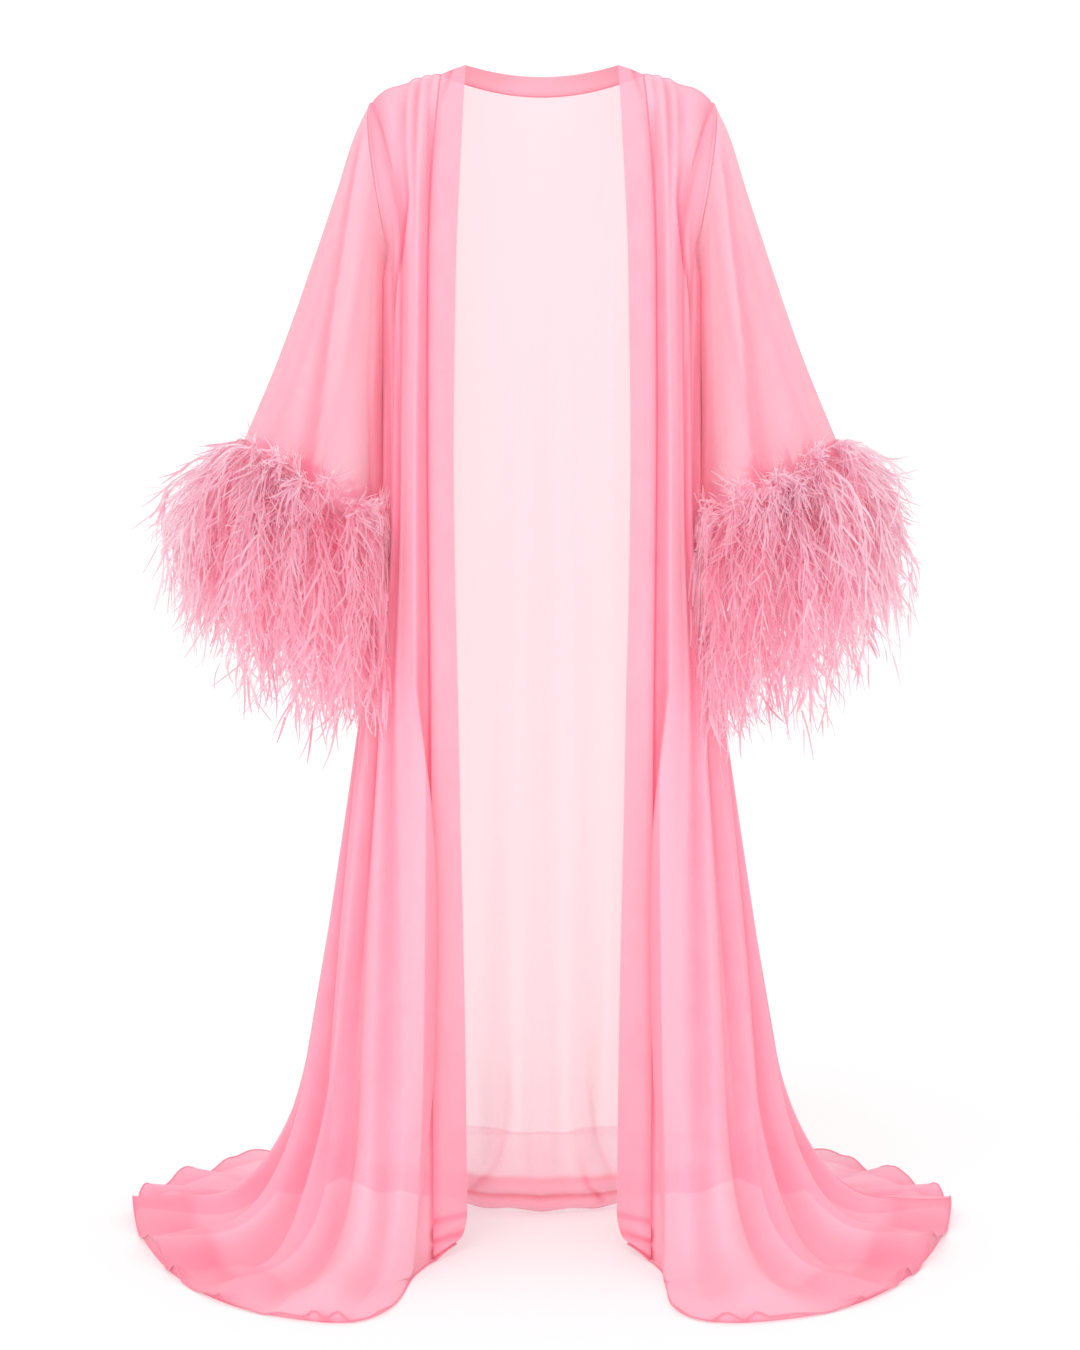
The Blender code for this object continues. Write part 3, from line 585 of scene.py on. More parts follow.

# Materials; DEEP_PINK and DEEP_PLUME are the pinks that painted shade deepens towards
LIGHT_PINK = (0.990, 0.425, 0.550)
DOUBLED_PINK = (0.990, 0.412, 0.522)
DEEP_PINK = (0.91, 0.120, 0.220)
PALE_PLUME = (1.000, 0.880, 0.935)
DEEP_PLUME = (1.000, 0.430, 0.570)
PLUME_GLOW = 0.80
CLOUD_SCALE = 22.0
CLOUD_TONE = 0.05
THREAD_SCALE = 320.0
THREAD_TONE = 0.05


def settings(node, values):
    """Set a node's own sockets."""
    for name, value in values.items():
        node.inputs[name].default_value = value


def add_node(tree, kind, how={}, values={}, fed_by={}):
    """New shader node with its options, its own values and the sockets that feed it."""
    made = tree.nodes.new("ShaderNode" + kind)
    for name, value in how.items():
        setattr(made, name, value)
    settings(made, values)
    for name, socket in fed_by.items():
        tree.links.new(socket, made.inputs[name])
    return made


def look_material(name, light, deep):
    """Material between two pinks by the mesh's Look: red is tone, which carries the painted shade,
    green is cover.
    """
    made = bpy.data.materials.new(name)
    made.use_nodes = True
    tree = made.node_tree
    look = add_node(tree, "Attribute", {"attribute_name": "Look"}).outputs["Color"]
    parts = add_node(tree, "SeparateColor", fed_by={"Color": look}).outputs
    pinks = {"A": (*light, 1.0), "B": (*deep, 1.0)}
    colour = add_node(tree, "Mix", {"data_type": "RGBA"}, pinks)
    shader = tree.nodes["Principled BSDF"]
    tree.links.new(colour.outputs["Result"], shader.inputs["Base Color"])
    return made, tree, shader, colour, parts["Red"], parts["Green"]


def chiffon(name, light, deep):
    """Sheer crepe chiffon: painted shade deepens the pink and the cover in folds and creases, painted
    light pales it in a few places, threads run both ways.
    """
    made, tree, shader, colour, tone, cover = look_material(name, light, deep)
    uv = {"Vector": add_node(tree, "UVMap", {"uv_map": "Cut"}).outputs["UV"]}
    cloud = add_node(tree, "TexNoise", {}, {"Scale": CLOUD_SCALE, "Detail": 3.0}, uv).outputs["Fac"]
    fine = {"Scale": THREAD_SCALE, "Distortion": 0.0}
    threads = {}
    for number, way in enumerate("XY"):
        threads[number] = add_node(tree, "TexWave", {"bands_direction": way}, fine, uv).outputs["Fac"]
    weave = add_node(tree, "Math", {"operation": "MULTIPLY"}, {}, threads).outputs["Value"]
    spread = {"From Min": 0.3, "From Max": 0.7, "To Min": -CLOUD_TONE, "To Max": CLOUD_TONE}
    worn = add_node(tree, "MapRange", {}, spread, {"Value": cloud}).outputs["Result"]
    both = add_node(tree, "Math", {"operation": "MULTIPLY_ADD"}, {1: -THREAD_TONE}, {0: weave, 2: worn})
    summed = {0: tone, 1: both.outputs["Value"]}
    tone = add_node(tree, "Math", {"operation": "ADD", "use_clamp": True}, {}, summed).outputs["Value"]
    tree.links.new(tone, colour.inputs["Factor"])
    tree.links.new(cover, shader.inputs["Alpha"])
    raised = add_node(tree, "Bump", {}, {"Strength": 0.12, "Distance": 0.0004}, {"Height": weave})
    tree.links.new(raised.outputs["Normal"], shader.inputs["Normal"])
    settings(shader, {"Roughness": 0.62, "Specular IOR Level": 0.25, "Sheen Weight": 0.25,
                      "Sheen Roughness": 0.45, "Sheen Tint": (1.0, 0.78, 0.84, 1.0)})
    return made


def plume_material(name):
    """Fine ostrich barbs that let light through, with painted shade: deeper pink at the root, paler at
    the tip.
    """
    made, tree, shader, colour, tone, _ = look_material(name, PALE_PLUME, DEEP_PLUME)
    tree.links.new(tone, colour.inputs["Factor"])
    glow = add_node(tree, "BsdfTranslucent", fed_by={"Color": colour.outputs["Result"]})
    mixed = {1: shader.outputs["BSDF"], 2: glow.outputs["BSDF"]}
    both = add_node(tree, "MixShader", {}, {"Fac": PLUME_GLOW}, mixed)
    tree.links.new(both.outputs["Shader"], tree.nodes["Material Output"].inputs["Surface"])
    settings(shader, {"Roughness": 0.70, "Specular IOR Level": 0.20, "Sheen Weight": 0.10,
                      "Sheen Roughness": 0.5, "Sheen Tint": (1.0, 0.60, 0.70, 1.0)})
    return made


def add_mesh(name, verts, faces, tone, cover, uv, material):
    """New piece whose Look holds the tone and the cover of each point."""
    full = np.ones(len(verts))
    look = np.column_stack([np.clip(tone, 0, 1), np.clip(cover, 0, 1) * full, 0 * full, full])
    mesh = bpy.data.meshes.new(name)
    mesh.from_pydata(verts.tolist(), [], faces.tolist())
    attribute = mesh.attributes.new("Look", "FLOAT_COLOR", "POINT")
    attribute.data.foreach_set("color", np.asarray(look, np.float32).reshape(-1))
    if uv is not None:
        layer = mesh.uv_layers.new(name="Cut")
        corner = np.zeros(len(mesh.loops), np.int32)
        mesh.loops.foreach_get("vertex_index", corner)
        layer.uv.foreach_set("vector", np.asarray(uv, np.float32)[corner].reshape(-1))
    mesh.polygons.foreach_set("use_smooth", np.ones(len(mesh.polygons), bool))
    mesh.materials.append(material)
    made = bpy.data.objects.new(name, mesh)
    bpy.context.scene.collection.objects.link(made)
    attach(made, "root")
    return made


def cut_uv(points):
    """Flat places of a grid's points, in metres along and across the cloth."""
    down = np.linalg.norm(np.diff(points, axis=0), axis=2).mean(axis=1)
    v = np.concatenate([[0.0], np.cumsum(down)])
    return np.stack(np.meshgrid(run_length(points[len(points) // 2]), -v), axis=2).reshape(-1, 2)


def grid_faces(rows, cols, ring, loop=False):
    """Quads of a grid; a ring joins its last column to its first, and a loop its last row."""
    down, across = np.arange(rows if loop else rows - 1), np.arange(cols if ring else cols - 1)
    i, j = np.meshgrid(down, across, indexing="ij")
    m, k = (i + 1) % rows, (j + 1) % cols
    corners = [i * cols + j, i * cols + k, m * cols + k, m * cols + j]
    return np.stack(corners, axis=2).reshape(-1, 4)


def sheet(name, points, tone, cover, material, ring=False):
    """One layer of cloth on a grid of points."""
    faces = grid_faces(*points.shape[:2], ring)
    tone, cover = tone.reshape(-1), cover.reshape(-1)
    return add_mesh(name, points.reshape(-1, 3), faces, tone, cover, cut_uv(points), material)


def tube(name, path, radius, tone, cover, material, ring):
    """Thin round seam or rolled edge along a path."""
    heading = unit(path[beside(len(path), 1, ring)] - path[beside(len(path), -1, ring)])
    aside = unit(np.cross(heading, TUBE_GUIDE))
    above = np.cross(heading, aside)
    angle = (np.arange(TUBE_SIDES) / TUBE_SIDES * 2 * math.pi)[None, :, None]
    grid = path[:, None] + (aside[:, None] * np.cos(angle) + above[:, None] * np.sin(angle)) * radius
    faces = grid_faces(len(path), TUBE_SIDES, True, loop=ring)
    cover = np.repeat(np.zeros(len(path)) + cover, TUBE_SIDES)
    tone = np.full(len(cover), tone)
    uv = np.stack(np.meshgrid(np.arange(TUBE_SIDES) * radius, run_length(path)), axis=2).reshape(-1, 2)
    return add_mesh(name, grid.reshape(-1, 3), faces, tone, cover, uv, material)


def ring_wall(name, points, normals, wall, tone, material):
    """Closed thin wall on a ring of points."""
    rows, cols = points.shape[:2]
    half = normals * wall / 2
    verts = np.concatenate([(points + half).reshape(-1, 3), (points - half).reshape(-1, 3)])
    under = rows * cols
    outer = grid_faces(rows, cols, True)
    j = np.arange(cols)
    k = (j + 1) % cols
    low = (rows - 1) * cols
    top = np.stack([k, j, j + under, k + under], axis=1)
    bottom = np.stack([low + j, low + k, low + k + under, low + j + under], axis=1)
    faces = np.concatenate([outer, outer[:, ::-1] + under, top, bottom])
    uv = np.concatenate([cut_uv(points)] * 2)
    return add_mesh(name, verts, faces, np.full(2 * under, tone), 1.0, uv, material)


cloth = chiffon("pink_chiffon", LIGHT_PINK, DEEP_PINK)
doubled = chiffon("pink_chiffon_doubled", DOUBLED_PINK, DEEP_PINK)

front_cols = np.concatenate([[0.0], even_columns(SEAM_MARGIN * 0.4, 1.0, FRONT_COLUMNS)])
back_cols = even_columns(1.0, 3.0, BACK_COLUMNS)
sides = {"right": 1, "left": -1}
pieces = {}


def band_grid(seam, sign):
    """Front band between its free edge and the seam, and its painted shade beside the seam and in the
    pleat near the top.
    """
    depth = -seam[:, 2]
    across = through(-BAND_WIDTHS["z"], BAND_WIDTHS["across"], depth)
    back_set = through(-BAND_WIDTHS["z"], BAND_WIDTHS["back_set"], depth)
    rise = (NECK_EDGE[2] - NECK_SEAM[2]) * (1 - ease(depth / 0.09))
    edge = seam + np.stack([sign * across, back_set, rise], axis=1)
    low = np.clip(1 - (edge[:, 2] - FLOOR_Z) / BAND_CORNER, 0, 1)
    edge[:, 0] -= sign * 0.40 * across * low ** 2.5
    edge[:, 2] = np.maximum(edge[:, 2], FLOOR_Z + BAND_WALL) + 0.010 * low ** 4
    shares = np.linspace(0, 1, BAND_COLUMNS)[::-sign]
    band = seam[:, None] + (edge - seam)[:, None] * shares[None, :, None]
    turned = unit(np.cross(np.gradient(band, axis=1), np.gradient(band, axis=0)))
    roll = np.sin(shares * math.pi)[None, :, None]
    high = 1 - ease(depth / 0.075)[:, None]
    pleat = full_bump((shares - 0.42 * high) / 0.16) * high
    band = band + turned * (BAND_ROLL * roll - BAND_PLEAT * pleat[..., None])
    for pool in ROLLS:
        middle = FLOOR_Z + pool["height"] + 0.010 * (shares - 0.4)
        band[..., 1] -= 0.75 * pool["reach"] * bump((band[..., 2] - middle) / pool["half"])
    # Painted shade beside the seam and in the pleat near the top
    seam_and_pleat_shade = np.maximum(bump(shares / 0.30) * ease(depth / 0.1)[:, None], 1.3 * pleat)
    return band, seam_and_pleat_shade


def turned_under(points, tone, cover):
    """The grid with one more row, the hem's own turned edge down on the floor."""
    inward = points[-8] - points[-1]
    inward[:, 2] = 0.0
    under = points[-1] + unit(inward) * HEM_TURN
    under[:, 2] = FLOOR_Z + HEM_LIFT
    tone = np.concatenate([tone, np.clip(tone[-1:] + 0.55, 0, 1)])
    cover = np.concatenate([cover, np.clip(cover[-1:] * 1.2, 0, 1)])
    return np.concatenate([points, under[None]]), tone, cover


def line(name, path, radius, tone, ring=False, cover=0.92):
    """A seam or rolled edge as its own thin piece."""
    made = tube(name, path, radius, tone, cover, doubled, ring=ring)
    return made


def fold_painted_shade(points, ring=False):
    """Painted shade of a cloth's own folds: deeper pink where its folds shut a place in."""
    shut = shut_in(points, grid_normals(points, ring), ring)
    return np.clip(FOLD_SHADE_LEAST + FOLD_SHADE_GAIN * (shut - FOLD_SHADE_FROM), 0, 1)


# Painted shade and painted light on a front besides its folds' own painted shade: place, half width,
# start, rise, stop, fall, tone; a positive tone is painted shade, a negative one painted light
FRONT_PAINTED_LIGHT_AND_SHADE = {
    "beside_band": (0.008, 0.028, 0.15, 0.50, 9.00, 1.00, 0.62),
    "beside_fold": (0.300, 0.130, 0.45, 0.25, 1.00, 0.25, 0.30),
    "painted_light_strip": (0.630, 0.070, 0.60, 0.30, 1.50, 0.40, -0.34),
    "low_crease": (0.105, 0.060, 1.35, 0.25, 2.20, 0.40, 0.33),
}
LEFT_PAINTED_LIGHT = {"painted_light_fold": (0.180, 0.070, 1.10, 0.20, 1.80, 0.30, -0.12)}
# Painted shade beside the sleeve, along the wide fold's edge and by the armhole
BY_SLEEVE_SHADE = 0.25
FOLD_LINE_SHADE = 0.34
FOLD_LINE_HALF = 0.030
ON_FLOOR_TONE = 0.38
BY_ARMHOLE_SHADE = 0.34
LYING_FADE = 0.25
FRONT_COVER = 0.76
BAND_TONE = 0.12
# Painted shade beside the band seam and in the creases of the pooled band
BAND_SEAM_SHADE = 0.32
BAND_COVER = 0.86
BAND_POOL_PAINTED_SHADE = ((0.045, 0.45), (0.022, 0.45), (0.003, 0.12))


def front_painted_shading(tone, side, v, w):
    """Depth of pink over a front: its folds' own painted shade, and painted shade and painted light
    between them.
    """
    lying = ease((v - 1.7) / 0.6) * (1 - ease((w - 0.45) / 0.1))
    past_edge = w - fold_edge(v)
    outside = FOLD_LINE_HALF + 0.12 * (1 - ease((v - 0.8) / 0.35))
    fold_line = bump(past_edge / np.where(past_edge > 0, outside, FOLD_LINE_HALF))
    tone = tone * (1 - LYING_FADE * lying)
    # Painted shade where the sleeve shades the front and along the wide fold's edge
    tone += BY_SLEEVE_SHADE * ease((w - 0.74) / 0.18) * window(v, 0.45, 0.4, 1.5, 0.5)
    tone += FOLD_LINE_SHADE * fold_line * window(v, 0.3, 0.6, 1.5, 0.6)
    tone += ON_FLOOR_TONE * ease((v - 2.9) / 0.3) * ease((w - 0.45) / 0.15)
    # Painted shade by the armhole
    tone += BY_ARMHOLE_SHADE * bump(v / 0.22) * window(w, TIP_AT + 0.07, 0.08, 0.75, 0.1)
    shades = FRONT_PAINTED_LIGHT_AND_SHADE if side == "right" else {**FRONT_PAINTED_LIGHT_AND_SHADE, **LEFT_PAINTED_LIGHT}
    # Painted shade in creases, and painted light on strips and a fold that fall in shade
    for at, half, start, rise, stop, fall, deepen in shades.values():
        tone += deepen * bump((w - at) / half) * window(v, start, rise, stop, fall)
    return np.clip(tone, 0, 1)


# Front panels and their bands
rows_v = ROWS[:, None]
for side, sign in sides.items():
    cols = front_cols if sign > 0 else (4 - front_cols)[::-1]
    points = np.array([cloth_row(v, cols) for v in ROWS])
    fold_w = np.minimum(cols, 4 - cols)[None, :]
    # Painted shade of the front's folds, creases and edges goes into its tone
    tone = front_painted_shading(fold_painted_shade(points), side, rows_v, fold_w)
    sheer = ease((fold_w - 0.25) / 0.1) * (1 - ease((rows_v - 0.4) / 0.5))
    cover = FRONT_COVER + 0.20 * tone - 0.14 * sheer
    seam_edge, side_edge = (points[:, 0], points[:, -1])[::sign]
    hem_edge, shoulder = points[-1], points[0, fold_w[0] <= TIP_AT]
    points, tone, cover = turned_under(points, tone, cover)
    pieces[side + "_front"] = sheet(side + "_front_chiffon", points, tone, cover, cloth)
    line(side + "_front_hem", hem_edge, HEM_RADIUS, 0.45)
    line(side + "_side_seam", side_edge, SEAM_RADIUS, 0.40)
    line(side + "_shoulder_seam", shoulder, 0.7 * SEAM_RADIUS, 0.20)
    line(side + "_band_seam", seam_edge, SEAM_RADIUS, 0.50)
    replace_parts(pieces[side + "_front"], side + "_front")
    band, seam_and_pleat_shade = band_grid(seam_edge, sign)
    low_down = ease((-band[..., 2] - 0.9) / 0.5)
    # Painted shade beside the seam and in the creases of the pooled rolls
    tone = BAND_TONE + BAND_SEAM_SHADE * seam_and_pleat_shade - 0.04 * low_down
    for level, deepen in BAND_POOL_PAINTED_SHADE:
        tone = tone + deepen * bump((band[..., 2] - FLOOR_Z - level) / 0.007)
    cover = BAND_COVER + 0.08 * low_down
    pieces[side + "_band"] = sheet(side + "_band_chiffon", band, tone, cover, doubled)
    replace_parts(pieces[side + "_band"], side + "_front_band")

# Back panel
BACK_SHEER = 0.41
TRAIN_SHEER = 0.20
TUCK_TONE = 0.22
TUCK_COVER = 0.14
# Painted shade in the creases between the rolls at the back's foot: height over the floor, tone
ROLL_PAINTED_SHADE = ((0.044, 0.40), (0.022, 0.80), (0.001, 0.40))
points = np.array([cloth_row(v, back_cols) for v in ROWS])
# Painted shade of the back's folds
tone = fold_painted_shade(points)
fold_w = np.minimum(back_cols, 4 - back_cols)[None, :]
above = points[..., 2] - FLOOR_Z
rolled = (1 - ease((above - 0.040) / 0.012)) * (1 - ease((rows_v - 2.92) / 0.12))
sheer = ease((fold_w - 1.30) / 0.30) * (1 - rolled)
centre = ease((fold_w - 1.40) / 0.35)
train = ease((rows_v - 2.95) / 0.15)
foot = ease((rows_v - 2.15) / 0.25) * (1 - train) * (1 - rolled)
train_sheer = TRAIN_SHEER + 0.04 * ease((rows_v - 3.1) / 0.8)
cover = 0.76 + 0.18 * tone - sheer * (BACK_SHEER - 0.04 * ease((rows_v - 1.4) / 1.1))
cover = cover - centre * (train * train_sheer + 0.03 * foot + 0.02 * rolled)
tone = tone * (1 - 0.35 * sheer)
# Painted shade in the creases of the rolls at the back's foot
between = ease((fold_w - 1.5) / 0.2) * window(rows_v, 2.4, 0.1, 2.95, 0.1)
for level, deepen in ROLL_PAINTED_SHADE:
    tone = np.clip(tone + deepen * between * bump((above - level) / 0.006), 0, 1)
pressed = tuck(rows_v, back_cols[None, :])
tone, cover = np.clip(tone + TUCK_TONE * pressed, 0, 1), cover + TUCK_COVER * pressed
hem_edge = points[-1]
points, tone, cover = turned_under(points, tone, cover)
pieces["back"] = sheet("back_chiffon", points, tone, cover, cloth)
line("back_hem", hem_edge, HEM_RADIUS, 0.40, cover=0.9 - 0.80 * centre[0])
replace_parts(pieces["back"], "back")

# Back neckband, on the back panel's neck seam
neck_w = np.linspace(BACK_NECK_AT, 4 - BACK_NECK_AT, NECKBAND_COLUMNS)
seam = cloth_row(0.0, neck_w)
hollow = 1 - (seam[:, 0] / NECK_SEAM[0]) ** 2
top_x = seam[:, 0] * NECK_EDGE[0] / NECK_SEAM[0]
top = np.stack([top_x, BACK_NECK_TOP_Y * hollow, BACK_NECK_TOP_Z * hollow], axis=1)
levels = np.linspace(1, 0, NECKBAND_ROWS)
neckband = seam[None] + (top - seam)[None] * levels[:, None, None]
turned = unit(np.cross(np.gradient(neckband, axis=1), np.gradient(neckband, axis=0)))
neckband = neckband + turned * (np.sin(levels * math.pi) * 0.0010)[:, None, None]
tone = 0.18 + 0.25 * bump(levels / 0.35)[:, None] + np.zeros(neckband.shape[:2])
pieces["neckband"] = sheet("back_neckband_chiffon", neckband, tone, 0.88 + 0 * tone, doubled)
line("back_neck_seam", seam, SEAM_RADIUS, 0.45)
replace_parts(pieces["neckband"], "back_neckband")


def sleeve_ends(along):
    """Middle of the smooth right sleeve, and its reach to the outer side and forward."""
    size = {name: through(SLEEVE["along"], SLEEVE[name], along) for name in SLEEVE.dtype.names}
    zero = np.zeros_like(along)
    outer = np.stack([size["outer_x"], zero, size["outer_z"]], axis=-1)
    inner = np.stack([size["inner_x"], zero, size["inner_z"]], axis=-1)
    forward = np.stack([zero, -size["half_depth"], zero], axis=-1)
    return (outer + inner) / 2, (outer - inner) / 2, forward


def sleeve_point(turn, along):
    """Right sleeve: turn 0 at the shoulder tip, 0.25 in front, 0.5 at the underarm, 0.75 behind."""
    middle, aside, forward = sleeve_ends(along)
    angle = turn[:, None] * 2 * math.pi
    return middle + np.cos(angle) * aside + np.sin(angle) * forward


def sleeve_row(turn, along):
    """Points of the right sleeve, from the armhole's own points to the cuff."""
    along = np.zeros(len(turn)) + along
    fore = armhole_line((turn / 0.5).clip(0, 1), -1)
    aft = armhole_line(((1 - turn) / 0.5).clip(0, 1), 1)
    hole = np.where((turn <= 0.5)[:, None], fore, aft)
    hole[:, 0] -= ARMHOLE_STEP * (1 - np.cos(turn * 2 * math.pi)) / 2
    start = sleeve_point(turn, np.zeros(len(turn)))
    fade = ((1 - (along / SLEEVE_BLEND).clip(0, 1)) ** 2)[:, None]
    points = sleeve_point(turn, along) + (hole - start) * fade
    out = unit(points - sleeve_ends(along)[0])
    grow = ease((along - 0.02) / 0.55)
    for fold in SLEEVE_FOLDS:
        at = fold["from_turn"] + (fold["to_turn"] - fold["from_turn"]) * along
        away = (turn - at + 0.5) % 1.0 - 0.5
        points = points + out * (fold["depth"] * grow * full_bump(away / fold["half"]))[:, None]
    return points


def to_side(points, sign):
    """The right side's points, or their mirror on the left."""
    if sign > 0:
        return points
    points = points * np.array([-1.0, 1.0, 1.0])
    tip = -SHOULDER_TIP[0] - ARMHOLE_BULGE_X
    points[..., 0] -= (1 - LEFT_SLEEVE_SPREAD) * np.maximum(points[..., 0] - tip, 0.0)
    return points


# Painted shade on the sleeves: underneath where they face the body, in the outer and inner zones and in
# the creases
UNDERSIDE_SHADE = 0.50
OUTER_ZONE_SHADE = 0.10
MAIN_CREASE_SHADE = 0.52
INNER_ZONE_SHADE = 0.35
INNER_CREASE_SHADE = 0.30
SLEEVE_COVER = 0.56
SLEEVE_TURNS = ((np.linspace(0, 1, 101)[:-1] + 0.5) % 1.0)[::-1]
SLEEVE_ROWS = np.concatenate([np.linspace(0, 0.985, 68), [0.993, 1.0]])
for side, sign in sides.items():
    points = to_side(np.array([sleeve_row(SLEEVE_TURNS, a) for a in SLEEVE_ROWS]), sign)
    points = points[:, ::sign]
    turns = SLEEVE_TURNS[None, ::sign]
    along = SLEEVE_ROWS[:, None]
    # Painted shade of the sleeve's folds, then of its underside, zones and creases
    tone = fold_painted_shade(points, ring=True)
    under = bump((turns - 0.49) / 0.17) * ease(along / 0.2)
    tone += UNDERSIDE_SHADE * under
    start, end = MAIN_CREASE[side]
    outer_line = start + (end - start) * along ** 0.8
    start, end = INNER_CREASE[side]
    inner_line = start + (end - start) * along
    below = ease(along / 0.12)
    signed = (turns + 0.5) % 1.0 - 0.5
    before = outer_line - signed
    tone += OUTER_ZONE_SHADE * below * ease(before / 0.03) * ease((signed + 0.12) / 0.18)
    tone += MAIN_CREASE_SHADE * below * bump(before / np.where(before > 0, 0.062, 0.012))
    tone += INNER_ZONE_SHADE * below * window(turns, inner_line, 0.04, 0.56, 0.06)
    tone += INNER_CREASE_SHADE * below * bump((turns - inner_line) / 0.020)
    for start, end, half, deepen in SLEEVE_CREASE_SHADE:
        away = (turns - (start + (end - start) * along) + 0.5) % 1.0 - 0.5
        tone += deepen * bump(away / half) * ease(along / 0.15)
    tone = np.clip(tone, 0, 1)
    cover = SLEEVE_COVER + 0.25 * tone + 0.15 * under
    seam_cover = 0.10 + 0.55 * ease((np.abs(signed[0]) - 0.03) / 0.15)
    pieces[side + "_sleeve"] = sheet(side + "_sleeve_chiffon", points, tone, cover, cloth, ring=True)
    line(side + "_armhole_seam", points[0], 0.7 * SEAM_RADIUS, 0.40, True, seam_cover)
    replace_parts(pieces[side + "_sleeve"], side + "_sleeve")


# Feather cuffs
def sleeve_frame(turn, along):
    """Points on the right sleeve's outside, with outward and falling directions."""
    here = sleeve_row(turn, along)
    aside = sleeve_row((turn + 0.004) % 1.0, along) - here
    fall = unit(sleeve_row(turn, along + 0.004) - sleeve_row(turn, along - 0.004))
    out = unit(np.cross(fall, unit(aside)))
    return here, out, fall


def each(values):
    """One value a plume, shaped for the points of its path."""
    return values.reshape(-1, 1, 1)


def quill_paths(chance, count):
    """Quills of plumes round the right cuff, as paths from root to tip."""
    turn = chance.random(count)
    kind = chance.random(count)
    kind = np.where(np.abs(turn - 0.5) < 0.09, 0.7 + 0.3 * kind, kind)
    along = ROOT_FROM + (ROOT_TO - ROOT_FROM) * np.clip(kind * 1.25, 0, 1)
    here, out, fall = sleeve_frame(turn, along)
    root = (here + out * (STRIP_WALL + WALL) * 0.8)[:, None]
    angle = turn * 2 * math.pi
    outer = (1 + np.cos(angle)) / 2
    front = 4 * outer * (1 - outer)
    ones = np.ones(count)
    flat = (out * np.stack([ones, ones, 1 - 2.2 * outer ** 2], axis=1))[:, None]
    lean = np.stack([-(0.15 + 0.03 * outer ** 2), -0.20 * np.sin(angle), -ones], axis=1)[:, None]
    rim_size, low_size = (a + b * front + c * outer ** 2 for a, b, c in (RIM_ROUND, LOW_ROUND))
    size = 0.84 + 0.19 * chance.random(count) ** 0.7
    layer = chance.random(count)
    q = np.linspace(0, 1, QUILL_STEPS + 1)[None, :, None]
    arch = np.sin(q * math.pi * 0.70)
    rim = root + lean * each(RIM_LOCK * size * rim_size) * q * (0.55 + 0.45 * q)
    rim = rim + out[:, None] * each(0.003 + 0.032 * layer) * arch
    reach = each((LOW_REACH + LOW_REACH_OUTSIDE * outer ** 2) * (0.45 + 0.65 * layer))
    drop = each(LOW_LOCK * size * low_size)
    low = root + flat * reach * arch + DOWN * drop * q ** 1.6 + lean * 0.01 * q
    far = each(HIGH_LOCK * (0.62 + 0.40 * outer) * (0.5 + 0.6 * chance.random(count)))
    rise = each((HIGH_RISE + HIGH_RISE_OUTSIDE * outer ** 6) * (0.15 + chance.random(count)))
    droop = each((0.005 + 0.05 * chance.random(count)) * (1 + 0.5 * outer))
    high = root + flat * far * (1 - (1 - q) ** 1.6)
    high = high - fall[:, None] * rise * np.sin(q * math.pi * 0.55) + DOWN * droop * q ** 2
    to_low = each(ease((kind - 0.20) / 0.16))
    to_rim = each(ease((kind - 0.55) / 0.25))
    path = high * (1 - to_low) + low * to_low
    return path * (1 - to_rim) + rim * to_rim, kind, layer


def ribbons(path, radius, chance):
    """Flat ribbons along equal paths, each with its own twist: corners and faces."""
    count, steps = path.shape[:2]
    twist = chance.normal(0, TWIST, count)
    guide = unit(chance.normal(0, 1, (count, 3)))
    heading = unit(np.gradient(path, axis=1))
    one = unit(np.cross(heading, guide[:, None]))
    other = np.cross(heading, one)
    turn = twist[:, None, None] * np.linspace(0, 1, steps)[None, :, None]
    aside = (one * np.cos(turn) + other * np.sin(turn)) * radius[..., None]
    base = (np.arange(count) * steps * 2)[:, None, None]
    rung = (np.arange(steps - 1) * 2)[None, :, None]
    faces = (base + rung + np.array([0, 1, 3, 2])).reshape(-1, 4)
    return np.stack([path + aside, path - aside], axis=2).reshape(-1, 3), faces


def clear_of_body(path, slack):
    """Barbs on the inner side lie against the hanging body and not through it."""
    half = through(-SECTIONS["z"], SECTIONS["half_width"], -path[..., 2])
    behind = ease((path[..., 1] + 0.075) / 0.04)
    limit = FRONT_CLEAR + (half + BODY_CLEAR - FRONT_CLEAR) * behind + slack[:, None]
    path = path.copy()
    path[..., 0] -= BODY_PUSH * np.maximum(path[..., 0] + limit, 0.0)
    return path


